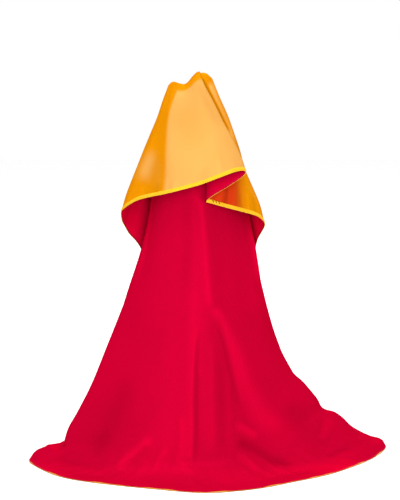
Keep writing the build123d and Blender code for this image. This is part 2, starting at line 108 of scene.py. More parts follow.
SKIRT = [
    [(-59.1, 4.9, 790), (-62.6, 32.6, 700), (-65.4, 54.7, 600), (-69.6, 87.9, 460), (-72.4, 110.1, 360), (-75.5, 135, 250), (-79, 162.6, 150), (-82.5, 190.3, 70), (-85, 209.7, 30), (-88.5, 237.3, 8), (-91.3, 259.5, 0.9), (-94.1, 281.6, 0.9)],
    [(-66.8, 7.5, 790), (-78.4, 30.5, 700), (-88, 49.3, 600), (-101.7, 76.3, 460), (-113.4, 99.3, 360), (-126.7, 125.7, 250), (-140.8, 153.5, 150), (-154.4, 180.3, 72.5), (-162.6, 196.6, 33), (-174.1, 219.2, 13), (-185.9, 242.5, 5.4), (-196.1, 262.6, 0.9)],
    [(-74.6, 5.5, 790), (-92.4, 21.1, 700), (-107.3, 34.3, 600), (-127.7, 52.2, 460), (-149.9, 71.8, 360), (-175.7, 94.6, 250), (-201.9, 117.6, 150), (-226.3, 139.1, 75), (-239.1, 150.4, 36), (-256.2, 165.5, 18), (-278.9, 185.5, 10), (-296.1, 200.6, 0.9)],
    [(-79.6, 3.1, 790), (-99, 10.7, 700), (-116.1, 17.5, 600), (-137.8, 26, 460), (-168.7, 38.1, 360), (-204.8, 52.3, 250), (-240.2, 66.2, 150), (-272.4, 78.9, 77.5), (-286.7, 84.5, 39), (-305.2, 91.8, 23), (-336.9, 104.2, 14.5), (-358.1, 112.6, 0.9)],
    [(-81.1, 0.6, 790), (-99.3, 1.7, 700), (-115.9, 2.6, 600), (-135.3, 3.8, 460), (-172, 5.9, 360), (-215.3, 8.4, 250), (-256.5, 10.8, 150), (-283, 12.4, 98.6), (-303.8, 13.5, 60), (-308.5, 13.8, 45), (-313, 14.2, 31), (-322.2, 14.7, 27), (-336, 15.4, 30.5), (-345, 16, 30.5), (-353.2, 16.5, 24), (-362.6, 17, 21.5), (-375, 17.7, 13.5), (-384.1, 18.2, 0.9)],
    [(-78.7, -2.5, 790), (-98.5, -6.5, 700), (-112.6, -9.3, 600), (-129.4, -12.7, 460), (-156.4, -18.1, 360), (-187.8, -24.5, 250), (-219.8, -30.9, 150), (-249.5, -36.9, 75), (-265.8, -40.2, 37.5), (-290.5, -45.2, 19), (-326.5, -52.4, 9.9), (-361.1, -59.4, 0.9)],
    [(-71.7, -5.2, 790), (-89.7, -17.5, 700), (-99.8, -24.5, 600), (-112.1, -33, 460), (-127.8, -43.8, 360), (-145.8, -56.2, 250), (-166, -70.1, 150), (-186.2, -84, 70), (-201.9, -94.8, 33), (-228.8, -113.3, 10), (-258, -133.4, 0.9), (-296.1, -159.7, 0.9)],
    [(-62.3, -7, 790), (-73.6, -24.4, 700), (-79.9, -33.9, 600), (-87.3, -45.3, 460), (-96.1, -58.7, 360), (-106.1, -74, 250), (-117.7, -91.8, 150), (-129.4, -109.7, 70), (-139.1, -124.5, 32), (-156.7, -151.4, 9.3), (-175.7, -180.5, 0.9), (-201.1, -219.4, 0.9)],
    [(-51.5, -8.1, 790), (-56, -29.1, 700), (-58.5, -40.5, 600), (-61.3, -53.5, 460), (-64.4, -67.8, 360), (-67.9, -84, 250), (-72.1, -103.5, 150), (-76.4, -123.3, 70), (-80.2, -141, 31), (-87.5, -174.6, 8.7), (-95.4, -210.8, 0.9), (-106.1, -260.4, 0.9)],
    [(-41.1, -8.4, 790), (-39, -32.4, 700), (-37.9, -45.1, 600), (-36.6, -59.2, 460), (-35.4, -73.4, 360), (-34, -89.2, 250), (-32.2, -109.3, 150), (-30.4, -129.9, 70), (-28.6, -149.7, 30), (-25.1, -189.2, 8), (-21.4, -231.6, 0.9), (-16.1, -290.9, 0.9)],
    [(-28.7, -8, 790), (-19, -29.9, 700), (-13.5, -42.2, 600), (-7.5, -55.7, 460), (-1.9, -68.4, 360), (4.8, -83.3, 250), (12.7, -101.2, 155), (21.6, -121.2, 75), (29.8, -139.7, 33.3), (45.2, -174.4, 10), (61.7, -211.6, 0.9), (83.9, -261.4, 0.9)],
    [(-19.3, -6.9, 790), (-2.7, -23.5, 700), (7, -33.2, 600), (17.6, -43.8, 460), (27, -53.2, 360), (38.6, -64.8, 250), (51.8, -78, 160), (67.7, -93.8, 80), (82.1, -108.2, 36.7), (107.1, -133.2, 12), (134, -160.1, 0.9), (168.4, -194.5, 0.9)],
    [(-11.4, -5.4, 790), (11.6, -16.3, 700), (25.6, -23, 600), (41, -30.2, 460), (53.7, -36.3, 360), (70.3, -44.1, 250), (88.2, -52.6, 165), (111.2, -63.5, 85), (131.6, -73.2, 40), (164.8, -88.9, 14), (200.5, -105.8, 0.9), (243.9, -126.4, 0.9)],
    [(-5.8, -3.6, 790), (22.8, -6.1, 700), (42.9, -7.9, 600), (63.9, -9.7, 460), (79.3, -11.1, 360), (101.4, -13, 250), (123.9, -15, 173.3), (157.3, -17.9, 100), (178.5, -19.7, 60), (216.6, -23.1, 36.7), (261.1, -27, 15.9), (311.9, -31.4, 0.9)],
    [(-2.3, -1.6, 790), (29.9, 3.2, 700), (55.5, 6.9, 600), (81.3, 10.7, 460), (98, 13.2, 360), (124.6, 17.1, 250), (150.3, 20.9, 181.7), (193.2, 27.2, 115), (212.3, 30, 80), (251.7, 35.8, 59.3), (301.7, 43.2, 31), (355.4, 51.1, 0.9)],
    [(-1.1, 0.6, 790), (33.5, 15.9, 700), (64.2, 29.4, 600), (94.2, 42.6, 460), (111.5, 50.3, 360), (141.9, 63.7, 250), (171.2, 76.6, 190), (180.5, 81, 174), (198, 88.6, 157.5), (215.7, 96.2, 136.5), (233.4, 103.9, 113), (242.5, 107.8, 95.5), (251.3, 111.6, 89.8), (269, 119.2, 83.9), (287, 126.9, 71), (304.9, 134.5, 51.5), (322.9, 142.2, 34), (340, 149.5, 26), (359, 157.5, 18), (377, 165.2, 12), (383.8, 170.1, 0.9)],
    [(-2.6, 3.1, 790), (29.4, 24.6, 700), (57.1, 43.2, 600), (87.8, 63.8, 460), (106.4, 76.3, 360), (134.8, 95.3, 250), (162.4, 113.8, 180), (206.1, 143.2, 115), (222.6, 154.2, 82.5), (257.3, 177.5, 63.5), (300.6, 206.5, 34.7), (343.9, 235.6, 0.9)],
    [(-7.2, 5.4, 790), (18.6, 30.8, 700), (40.3, 52.1, 600), (67.1, 78.6, 460), (84, 95.3, 360), (106.9, 117.9, 250), (130.4, 141, 170), (162.2, 172.4, 100), (177.2, 187.1, 65), (204.3, 213.8, 45), (234.1, 243.2, 23.4), (263.9, 272.6, 0.9)],
    [(-14.3, 7.3, 790), (4, 34.9, 700), (19.1, 57.6, 600), (39.7, 88.6, 460), (53.1, 108.8, 360), (69.5, 133.5, 250), (87.1, 159.9, 160), (107.5, 190.7, 85), (119.3, 208.4, 47.5), (138.1, 236.8, 26.5), (156, 263.7, 12.2), (173.9, 290.6, 0.9)],
    [(-21.2, 4.8, 790), (-9.4, 32.6, 700), (0.1, 54.9, 600), (14.2, 88.4, 460), (23.7, 110.7, 360), (34.3, 135.8, 250), (46.1, 163.7, 150), (57.9, 191.6, 70), (66.2, 211.1, 30), (78, 239, 8), (87.5, 261.3, 0.9), (96.9, 283.6, 0.9)],
]
HALF = 0.00045          # from the cloth's middle to either layer
ROWS = 150              # rows down every column
STEP = 0.0068           # widest gap between two columns

OUTER = LAPEL_LEFT + FRONT_TOP + LAPEL_RIGHT
INNER = FOLD_RIGHT + SKIRT[::-1] + FOLD_LEFT
N_OUT, N_IN = len(OUTER), len(INNER)


def through(points, s, at):
    """A smooth curve through points at the parameters s, read at the parameters in at."""
    p = np.asarray(points, float)
    shape = (-1,) + (1,) * (p.ndim - 1)
    h = np.diff(s)
    slope = np.diff(p, axis=0) / h.reshape(shape)
    m = np.empty_like(p)
    a, b = h[:-1].reshape(shape), h[1:].reshape(shape)
    m[1:-1] = (slope[:-1] * b + slope[1:] * a) / (a + b)
    m[0], m[-1] = slope[0], slope[-1]
    k = np.clip(np.searchsorted(s, at, side="right") - 1, 0, len(s) - 2)
    t = ((at - s[k]) / h[k]).reshape(shape)
    w = h[k].reshape(shape)
    return (
        (2 * t**3 - 3 * t**2 + 1) * p[k]
        + (t**3 - 2 * t**2 + t) * w * m[k]
        + (3 * t**2 - 2 * t**3) * p[k + 1]
        + (t**3 - t**2) * w * m[k + 1]
    )


def lengths(p):
    """Running length along a line of points."""
    return np.concatenate([[0.0], np.cumsum(np.linalg.norm(np.diff(p, axis=0), axis=1))])


def spread(points, shares):
    """Points at shares of the length of a smooth line through the control points."""
    p = np.array(points, float) / 1000
    s = lengths(p)
    fine = through(p, s, np.linspace(0, s[-1], 700))
    run = lengths(fine)
    return np.stack([np.interp(shares * run[-1], run, fine[:, i]) for i in range(3)], 1)


def smoothstep(x, a, b):
    t = np.clip((x - a) / (b - a), 0, 1)
    return t * t * (3 - 2 * t)


shares = np.linspace(0, 1, ROWS)
control = np.stack([spread(c, shares) for c in OUTER + INNER])          # column, row, xyz
count = len(control)
gaps = np.linalg.norm(np.roll(control, -1, axis=0) - control, axis=2)   # to the next column, row by row
knots = np.concatenate([[0.0], np.cumsum(np.sqrt(gaps.mean(axis=1)))])
wrapped = np.concatenate([control[-3:], control, control[:3]])
wrapped_knots = np.concatenate([knots[-4:-1] - knots[-1], knots, knots[-1] + knots[1:3]])
pieces_per_gap = np.clip(np.ceil(gaps.max(axis=1) / STEP).astype(int), 2, 24)
at, place = [], []
for i in range(count):
    for j in range(pieces_per_gap[i]):
        f = j / pieces_per_gap[i]
        at.append(knots[i] + (knots[i + 1] - knots[i]) * f)
        place.append(i + f)
at, place = np.array(at), np.array(place)                               # place: number of the control column, with its fraction
grid = through(wrapped, wrapped_knots, at)                              # column, row, xyz
COLS = len(grid)


def normals(g):
    """Unit normals of the closed grid, towards the gold side."""
    du = np.roll(g, -1, axis=0) - np.roll(g, 1, axis=0)
    dv = np.gradient(g, axis=1)
    n = np.cross(dv, du)
    return n / np.maximum(np.linalg.norm(n, axis=2, keepdims=True), 1e-9)

# ---------------------------------------------------------------------------
# Folds and flutes, added along the normals
# ---------------------------------------------------------------------------
facing = normals(grid)
row = np.broadcast_to(shares, (COLS, ROWS))
where = np.broadcast_to(place[:, None], (COLS, ROWS))
inner = (where >= N_OUT) & (where <= N_OUT + N_IN - 1)
outer = where <= N_OUT - 1
skirt_at = N_OUT + N_IN - 2 - where            # 0 at the left back fold, 19 at the right one
push = np.zeros((COLS, ROWS))                  # metres towards the gold side
painted_shading = np.zeros((COLS, ROWS))                  # painted highlight over folds and painted shade in hollows, put into the colour


def window(x, a, b, c, d):
    return smoothstep(x, a, b) * (1 - smoothstep(x, c, d))


# flutes at the back and the sides of the skirt, deepest low down and pressed flat on the floor
low = smoothstep(row, 0.10, 0.72) * (1 - 0.8 * smoothstep(row, 0.88, 0.99))
flute_left = window(skirt_at, 0.0, 0.9, 2.6, 3.7) * np.cos(2 * math.pi * (skirt_at * 0.86 + 0.12 + 0.25 * row))
flute_right = window(skirt_at, 15.4, 16.4, 18.2, 19.0) * np.cos(2 * math.pi * (skirt_at * 0.9 + 0.3 - 0.2 * row))
push += np.where(inner, (flute_left + flute_right) * 0.015 * low, 0)

# the lapels stand off the folds behind them in soft waves that open towards their edge
wave = smoothstep(row, 0.15, 1.0) ** 1.3
lap_left = window(where, 0.2, 1.6, 3.6, 5.6) * (0.5 - 0.5 * np.cos(2 * math.pi * (where * 0.42 + 0.35 * row)))
lap_right = window(where, N_OUT - 6.2, N_OUT - 4.4, N_OUT - 2.6, N_OUT - 1.2) * (
    0.5 - 0.5 * np.cos(2 * math.pi * (where * 0.45 + 0.3 * row + 0.2))
)
push += np.where(outer, (lap_left + lap_right) * 0.011 * wave, 0)

# The folds of the front are drawn on the upright plane that faces the viewer:
# X across and H up that plane, both in metres.
TILT = math.radians(7.38)
X = grid[..., 0]
H = grid[..., 1] * math.sin(TILT) + grid[..., 2] * math.cos(TILT)


def near_line(line):
    """Distance on the plane to a line of (X, H) points, positive to the right of a line that runs down, and the share along it."""
    line = np.array(line, float)
    best = np.full(X.shape, 9.0)
    side = np.zeros(X.shape)
    along = np.zeros(X.shape)
    run = lengths(line)
    for k in range(len(line) - 1):
        a, d = line[k], line[k + 1] - line[k]
        qx, qh = X - a[0], H - a[1]
        t = np.clip((qx * d[0] + qh * d[1]) / (d @ d), 0, 1)
        dist = np.hypot(qx - t * d[0], qh - t * d[1])
        closer = dist < best
        best = np.where(closer, dist, best)
        side = np.where(closer, np.sign(d[0] * qh - d[1] * qx), side)
        along = np.where(closer, (run[k] + t * (run[k + 1] - run[k])) / run[-1], along)
    return best * side, along


def ends(along, a, b):
    return smoothstep(along, 0, a) * (1 - smoothstep(along, 1 - b, 1))


def ridge(mask, line, height, shade, wide_a, wide_b, a=0.15, b=0.15):
    """A soft ridge towards the viewer along a line, wide_a at its start and wide_b at its end; a hollow where height is
    negative. Shade is painted into the colour along it: a painted highlight where shade is positive, painted shade
    where it is negative.
    """
    off, along = near_line(line)
    width = wide_a + (wide_b - wide_a) * along
    bump = np.exp(-0.5 * (off / width) ** 2) * ends(along, a, b)
    push[...] -= np.where(mask, bump * height * 0.5, 0)
    painted_shading[...] += np.where(mask, bump * shade, 0)


front = inner & (skirt_at > 3.3) & (skirt_at < 15.4) & (facing[..., 1] > -0.35)

# the long fold down the middle, which splits in two below the knee; the folds and hollows here carry painted highlight
# and painted shade as well as their shape
ridge(front, [(-0.0196, 0.56), (-0.0107, 0.4826), (-0.004, 0.4159), (0.0023, 0.3429), (0.0075, 0.315)], 0.006, 0.06, 0.0075, 0.006, 0.05, 0.12)
ridge(front, [(-0.0486, 0.56), (-0.0455, 0.4624), (-0.0554, 0.38), (-0.0692, 0.3231)], -0.004, -0.045, 0.017, 0.02, 0.05, 0.4)
ridge(front, [(0.022, 0.56), (0.026, 0.46), (0.034, 0.38), (0.045, 0.32)], -0.003, -0.02, 0.013, 0.018, 0.05, 0.4)
ridge(front, [(0.0065, 0.332), (0.0238, 0.3061), (0.0512, 0.2428), (0.0739, 0.1654), (0.1096, 0.0969), (0.1525, 0.0589), (0.1889, 0.0325)], 0.008, 0.13, 0.006, 0.019, 0.04, 0.25)
ridge(front, [(0.0145, 0.31), (0.0320, 0.2533), (0.0465, 0.1943), (0.0592, 0.135), (0.080, 0.1)], -0.006, -0.05, 0.0045, 0.006, 0.15, 0.3)

# the sail: a leaf that rises to the right and drops back sharply
sail_h = np.array([0.2933, 0.2616, 0.2059, 0.1382, 0.0703, 0.0173, -0.03])
sail_r = np.array([-0.0237, -0.0298, -0.0335, -0.0351, -0.0341, -0.0362, -0.038])
left_h = np.array([0.2933, 0.2659, 0.2093, 0.1461, 0.0894, 0.0327, -0.0057, -0.03])
left_x = np.array([-0.0237, -0.0483, -0.0787, -0.0994, -0.1361, -0.1879, -0.2161, -0.235])
right_x = np.interp(H, sail_h[::-1], sail_r[::-1])
edge_x = np.interp(H, left_h[::-1], left_x[::-1])
breadth = np.maximum(right_x - edge_x, 0.004)
inside = np.clip((X - edge_x) / breadth, 0, 1)
drop = 1 - smoothstep(X - right_x, -0.003, 0.010)
down = (1 - smoothstep(H, 0.20, 0.298)) * smoothstep(H, -0.02, 0.05)
push -= np.where(front, 0.006 * inside**1.2 * drop * down, 0)
# painted highlight over the sail
sail_painted_highlight = smoothstep(inside, 0.0, 0.28) * (1 - smoothstep(X - right_x, -0.004, 0.003)) * (1 - smoothstep(H, 0.285, 0.297)) * smoothstep(H, -0.02, 0.03)
painted_shading += np.where(front, 0.03 * sail_painted_highlight, 0)
# painted shade in the hollow to its right, and faint upright creases with painted highlight and shade along them
hollow = smoothstep(X - right_x, -0.001, 0.006) * (1 - smoothstep(X, 0.035 + 0.15 * (0.25 - H), 0.06 + 0.2 * (0.25 - H))) * (1 - smoothstep(H, 0.2, 0.3)) * smoothstep(H, -0.005, 0.02)
painted_shading += np.where(front, -0.03 * hollow, 0)
ridge(front, [(0.0044, 0.275), (0.0056, 0.1943), (0.0076, 0.1011), (0.009, 0.0272)], 0.002, 0.03, 0.004, 0.006)
ridge(front, [(0.0366, 0.2041), (0.0404, 0.1238), (0.0429, 0.0427), (0.0469, 0.0089)], 0.002, 0.035, 0.004, 0.006)
ridge(front, [(0.021, 0.22), (0.024, 0.12), (0.026, 0.03)], -0.002, -0.035, 0.004, 0.007)
ridge(front, [(-0.020, 0.20), (-0.021, 0.12), (-0.018, 0.02)], -0.002, -0.03, 0.006, 0.008)
ridge(front, [(-0.062, 0.11), (-0.060, 0.06), (-0.064, 0.01)], 0.0015, 0.03, 0.004, 0.005)
ridge(front, [(-0.1177, 0.064), (-0.1471, 0.0369), (-0.1809, 0.0112), (-0.2036, -0.0069)], 0.006, 0.13, 0.006, 0.004, 0.2, 0.2)
ridge(front, [(-0.128, 0.045), (-0.152, 0.024), (-0.175, 0.004)], -0.003, -0.04, 0.004, 0.003, 0.3, 0.3)
ridge(front, [(-0.09, 0.045), (-0.105, 0.018), (-0.12, -0.008)], 0.003, 0.04, 0.005, 0.004, 0.3, 0.3)
ridge(front, [(0.0505, 0.089), (0.0762, 0.0701), (0.1020, 0.0518)], 0.007, 0.13, 0.007, 0.005, 0.25, 0.25)
ridge(front, [(0.060, 0.096), (0.085, 0.083), (0.105, 0.072)], -0.003, -0.05, 0.004, 0.004, 0.3, 0.3)
ridge(front, [(0.0531, 0.0525), (0.0898, 0.0359), (0.1304, 0.014), (0.1759, 0.0022)], -0.007, -0.13, 0.008, 0.004, 0.15, 0.15)
ridge(front, [(0.052, 0.030), (0.075, 0.012), (0.11, -0.004)], 0.003, 0.07, 0.006, 0.004, 0.25, 0.25)
ridge(front, [(-0.1664, 0.21), (-0.1922, 0.1221), (-0.2231, 0.051), (-0.2454, 0.0109)], -0.006, -0.06, 0.014, 0.018, 0.35, 0.2)
ridge(front, [(-0.212, 0.075), (-0.232, 0.045), (-0.25, 0.012)], -0.003, -0.05, 0.008, 0.01, 0.3, 0.3)
ridge(front, [(-0.1039, 0.50), (-0.1105, 0.3995), (-0.1215, 0.3457), (-0.1268, 0.27)], 0.0025, 0.02, 0.014, 0.018)
ridge(front, [(0.0829, 0.4917), (0.0955, 0.4254), (0.1017, 0.3714)], 0.002, 0.035, 0.005, 0.006, 0.3, 0.3)
ridge(front, [(0.1602, 0.1296), (0.1974, 0.0786), (0.233, 0.0463), (0.2772, 0.04)], -0.006, -0.05, 0.017, 0.013, 0.2, 0.2)
ridge(front, [(0.2377, 0.0896), (0.2341, 0.0623), (0.2257, 0.0533)], -0.003, -0.05, 0.003, 0.003)
ridge(front, [(0.262, 0.088), (0.248, 0.062), (0.236, 0.048)], 0.003, 0.06, 0.005, 0.004)
ridge(front, [(0.30, 0.030), (0.27, 0.020), (0.245, 0.012)], -0.003, -0.06, 0.004, 0.003)
ridge(front, [(-0.3135, 0.0005), (-0.2202, -0.0179), (-0.1156, -0.0288)], 0, 0.03, 0.006, 0.006)
ridge(front, [(-0.33, 0.012), (-0.26, 0.000), (-0.18, -0.010)], -0.002, -0.05, 0.004, 0.004, 0.2, 0.3)
ridge(front, [(-0.0193, -0.0222), (0.085, -0.0218), (0.1952, -0.0041), (0.2882, 0.0108), (0.3496, 0.0253)], 0, 0.05, 0.005, 0.006)
ridge(front, [(-0.075, 0.02), (-0.055, 0.002), (-0.03, -0.010)], 0.003, 0.05, 0.004, 0.004)

# The turned-over top. Its front leaf is control columns 14 to 21, the pleat's middle leaf 21 to 25
# and the leaf under it 25 to 30. A painted highlight, a paler satin colour, is laid where a leaf faces forward.
# painted light in the slots beside the lapels
painted_shading += np.where(inner, 0.22 * (window(skirt_at, 2.6, 3.3, 4.2, 5.2) + window(skirt_at, 13.8, 14.8, 15.8, 16.8)) * window(H, 0.36, 0.44, 0.54, 0.60), 0)
# painted highlight on the cloth that spreads on the floor, where light from above falls
painted_shading += np.where(front, 0.10 * (1 - smoothstep(H, -0.010, 0.006)), 0)
# painted highlight on the upper right of the skirt front
painted_shading += np.where(front, 0.05 * smoothstep(X, 0.055, 0.095) * smoothstep(H, 0.30, 0.36), 0)
painted_sheen = np.zeros((COLS, ROWS))
painted_reflection = np.zeros((COLS, ROWS))
face = outer & (where > 9.5) & (where < 30.5)
front_leaf_painted_sheen = smoothstep(where, 13.85, 14.3) * (1 - smoothstep(where, 20.3, 21.0)) * smoothstep(row, 0.04, 0.075)
painted_sheen += np.where(face, front_leaf_painted_sheen, 0)


def touch(field, mask, line, value, wide_a, wide_b, a=0.2, b=0.2):
    off, along = near_line(line)
    width = wide_a + (wide_b - wide_a) * along
    field[...] += np.where(mask, np.exp(-0.5 * (off / width) ** 2) * ends(along, a, b) * value, 0)


left_facet = face & (where < 14.0)
under_leaf = face & (where > 25.2)
# painted highlights and painted shade on the turned-over top: a highlight patch on the left facet, a highlight along
# the roll of the under leaf, painted shade in the groove beside the front leaf's edge, and darker bands near the
# facets' boundaries
touch(painted_sheen, left_facet, [(-0.116, 0.664), (-0.131, 0.620), (-0.144, 0.582)], 0.85, 0.007, 0.012, 0.4, 0.4)
touch(painted_sheen, left_facet, [(-0.104, 0.640), (-0.106, 0.600), (-0.110, 0.570)], 0.12, 0.004, 0.004, 0.3, 0.3)
touch(painted_sheen, under_leaf, [(-0.004, 0.800), (0.0125, 0.7566), (0.0271, 0.7231), (0.0407, 0.6938), (0.055, 0.664)], 0.95, 0.0046, 0.0042, 0.10, 0.25)
touch(painted_shading, under_leaf, [(-0.004, 0.800), (0.0125, 0.7566), (0.0271, 0.7231), (0.0407, 0.6938), (0.055, 0.664)], 0.09, 0.0040, 0.0036, 0.10, 0.25)
touch(painted_sheen, under_leaf, [(0.080, 0.600), (0.090, 0.572), (0.101, 0.545)], 0.10, 0.004, 0.004, 0.3, 0.3)
touch(painted_shading, under_leaf, [(-0.0175, 0.8061), (-0.0025, 0.7777), (0.0101, 0.754), (0.0263, 0.7204), (0.0375, 0.699), (0.044, 0.684)], -0.24, 0.0018, 0.0016, 0.04, 0.2)
touch(painted_sheen, under_leaf, [(-0.0175, 0.8061), (-0.0025, 0.7777), (0.0101, 0.754), (0.0263, 0.7204), (0.0375, 0.699), (0.044, 0.684)], -1.2, 0.0028, 0.0026, 0.04, 0.2)
touch(painted_shading, under_leaf, [(0.0495, 0.700), (0.058, 0.672), (0.066, 0.640), (0.072, 0.612)], -0.10, 0.003, 0.003)
touch(painted_shading, face & (where > 13) & (where < 21.5), [(-0.030, 0.800), (-0.012, 0.762), (0.006, 0.722), (0.022, 0.690)], -0.05, 0.006, 0.004, 0.2, 0.3)
touch(painted_sheen, face & (where > 14) & (where < 21), [(-0.06, 0.76), (-0.045, 0.70), (-0.03, 0.64)], -0.12, 0.02, 0.02, 0.3, 0.3)
painted_shading += np.where(left_facet, -0.04 * window(where, 11.8, 12.8, 13.6, 14.0), 0)
# painted reflection: the under leaf is tinted orange-red where red light from the cloth beside it would fall
painted_reflection += np.where(under_leaf, (1 - smoothstep(X, 0.052, 0.080)) * smoothstep(row, 0.5, 0.72) * (1 - 0.45 * smoothstep(where, 27.3, 28.2)), 0)
# thin creases under the pleat and puckers along the neck seam, in cloth coordinates (column number, share of the
# length), each with painted highlight or painted shade along it
PUCKERS = [
    (14.1, 0.975, 0.85, 0.10, 0.0016, 0.05), (14.9, 0.98, 0.87, 0.08, -0.0014, -0.05), (15.4, 0.98, 0.88, 0.07, 0.0012, 0.04),
    (13.2, 0.98, 0.86, 0.12, -0.0015, -0.05), (12.3, 0.98, 0.88, 0.10, 0.0012, 0.04), (17.2, 0.98, 0.80, 0.09, -0.0012, -0.03),
    (18.1, 0.98, 0.72, 0.08, 0.0014, 0.04), (19.2, 0.98, 0.80, 0.08, -0.0012, -0.04), (26.6, 0.97, 0.80, 0.07, 0.0016, 0.10),
    (27.0, 0.97, 0.78, 0.07, -0.0016, -0.12), (27.4, 0.97, 0.78, 0.07, 0.0016, 0.12), (27.8, 0.97, 0.80, 0.07, -0.0014, -0.10),
    (28.3, 0.97, 0.82, 0.07, 0.0014, 0.08), (28.8, 0.97, 0.84, 0.07, -0.0012, -0.08), (29.3, 0.97, 0.86, 0.07, 0.0012, 0.06),
    (11.2, 0.98, 0.86, 0.09, 0.0012, 0.04), (16.2, 0.985, 0.90, 0.06, 0.0010, 0.03), (20.2, 0.98, 0.88, 0.08, 0.0010, 0.03),
]
for col, low_end, high_end, wide, height, shade in PUCKERS:
    bump = np.exp(-0.5 * ((where - col) / wide) ** 2) * smoothstep(row, high_end, (high_end + low_end) / 2) * (1 - smoothstep(row, low_end, 1.0))
    push += np.where(face, bump * height, 0)
    painted_shading += np.where(face, bump * shade, 0)
painted_sheen = np.clip(painted_sheen, 0, 1)

grid = grid + facing * push[..., None]

# the part of the skirt that lies on the floor is crumpled, and nothing goes under the floor
lying = np.where(inner, smoothstep(row, 0.80, 0.93), 0)
ripple = (
    np.sin(place * 9.1 + 0.7)[:, None] * np.sin(row * 31 + place[:, None] * 2.3)
    + 0.6 * np.sin(place * 17.3)[:, None] * np.sin(row * 47 - place[:, None] * 3.1)
)
grid[..., 2] += lying * (1 - smoothstep(row, 0.985, 1.0)) * np.maximum(ripple, -0.3) * 0.0016
grid[..., 2] = np.maximum(grid[..., 2], 0.0009)
facing = normals(grid)

# ---------------------------------------------------------------------------
# Meshes
# ---------------------------------------------------------------------------
fold_right = int(np.argmin(np.abs(place - N_OUT)))                      # column of the right back fold
fold_left = int(np.argmin(np.abs(place - (N_OUT + N_IN - 1))))          # column of the left back fold
wall_out = np.r_[np.arange(fold_left, COLS), np.arange(0, fold_right + 1)]
wall_in = np.arange(fold_right, fold_left + 1)

# cloth coordinates in metres, for the weave: across the cloth and down it
mid = int(ROWS * 0.6)
loop = np.concatenate([grid[:, mid], grid[:1, mid]])
run_u = lengths(loop)[:-1]
run_v = np.concatenate([np.zeros((COLS, 1)), np.cumsum(np.linalg.norm(np.diff(grid, axis=1), axis=2), axis=1)], axis=1)


def new_object(name, verts, faces, uvs=None, edge=None, painted_shadings=None, painted_sheens=None, painted_reflections=None, smooth=True):
    mesh = bpy.data.meshes.new(name)
    mesh.from_pydata([tuple(v) for v in verts], [], faces)
    mesh.update()
    if smooth:
        mesh.polygons.foreach_set("use_smooth", [True] * len(mesh.polygons))
    if uvs is not None:
        layer = mesh.uv_layers.new(name="cloth")
        index = np.empty(len(mesh.loops), dtype=np.int32)
        mesh.loops.foreach_get("vertex_index", index)
        layer.data.foreach_set("uv", np.asarray(uvs, np.float32)[index].ravel())
    if edge is not None:
        field = mesh.attributes.new("edge", "FLOAT", "POINT")
        field.data.foreach_set("value", np.asarray(edge, np.float32).ravel())
    for label, values in (("painted_shading", painted_shadings), ("painted_sheen", painted_sheens), ("painted_reflection", painted_reflections)):
        if values is not None:
            field = mesh.attributes.new(label, "FLOAT", "POINT")
            field.data.foreach_set("value", np.asarray(values, np.float32).ravel())
    obj = bpy.data.objects.new(name, mesh)
    scene.collection.objects.link(obj)
    return obj


def quads(cols, rows, flip=False, first=0):
    out = []
    for i in range(cols - 1):
        for j in range(rows - 1):
            a = first + i * rows + j
            q = (a, a + 1, a + rows + 1, a + rows)
            out.append(q[::-1] if flip else q)
    return out


def layer(cols, offset, grow=None):
    """The points of one layer, offset from the middle of the cloth, grown past its last row by grow metres."""
    p = grid[cols] + facing[cols] * offset
    if grow is not None:
        down = grid[cols, -1] - grid[cols, -3]
        down /= np.linalg.norm(down, axis=1, keepdims=True)
        p[:, -1] += down * np.asarray(grow)[:, None]
    return p


def cloth_uv(cols):
    u = run_u[cols][:, None] * np.ones((1, ROWS))
    jump = np.where(cols < fold_left, 0, -run_u[-1]) if cols[0] > cols[-1] else 0
    return np.stack([u + np.reshape(jump, (-1, 1)), run_v[cols]], -1)


# the ridge: the gold side rolls over from the outer wall to the middle, where the gathers are pressed together
CAP = 10
top = grid[wall_out, 0] + facing[wall_out, 0] * HALF
middle = 0.0006 + 0.00005 * np.sign(top[:, 1] - 0.0006)
rise = 0.0030 + 0.0010 * np.sin(place[wall_out] * 2.7)
cap = np.empty((len(wall_out), CAP, 3))
for k in range(CAP):
    f = (k + 1) / CAP
    roll = min(1.0, f / 0.7)                             # 1 at the middle of the ridge, then it tucks down
    y = top[:, 1] + (middle - top[:, 1]) * math.sin(math.pi / 2 * roll) ** 1.4
    x = top[:, 0] + (-0.041 - top[:, 0]) * 0.06 * roll
    z = top[:, 2] + rise * math.sin(math.pi * min(roll, 1.0) * 0.62) - 0.0022 * roll - 0.012 * float(smoothstep(f, 0.7, 1.0))
    cap[:, k] = np.stack([x, y, z], -1)
ends_of_ridge = np.minimum(np.arange(len(wall_out)), np.arange(len(wall_out))[::-1])
soft = smoothstep(ends_of_ridge, 0, 8)[:, None]
cap[..., 2] -= (1 - soft) * 0.004 * np.linspace(0.2, 1, CAP)
# the cloth crowns softly over the right end of the grip, and the crest runs evenly along the ridge
crown = np.exp(-0.5 * ((top[:, 0] + 0.019) / 0.015) ** 2)[:, None]
cap[..., 2] += 0.0046 * crown * smoothstep(np.arange(CAP), 0, 4)
even = cap[..., 2].copy()
for _ in range(24):
    even[1:-1] = (even[:-2] + 2 * even[1:-1] + even[2:]) / 4
cap[..., 2] += (even - cap[..., 2]) * smoothstep(np.arange(CAP), 0, 5)


hem_wave = 0.0006 + 0.0012 * (0.5 + 0.5 * np.sin(place * 7.3)) * (0.5 + 0.5 * np.sin(place * 2.9 + 1.0))

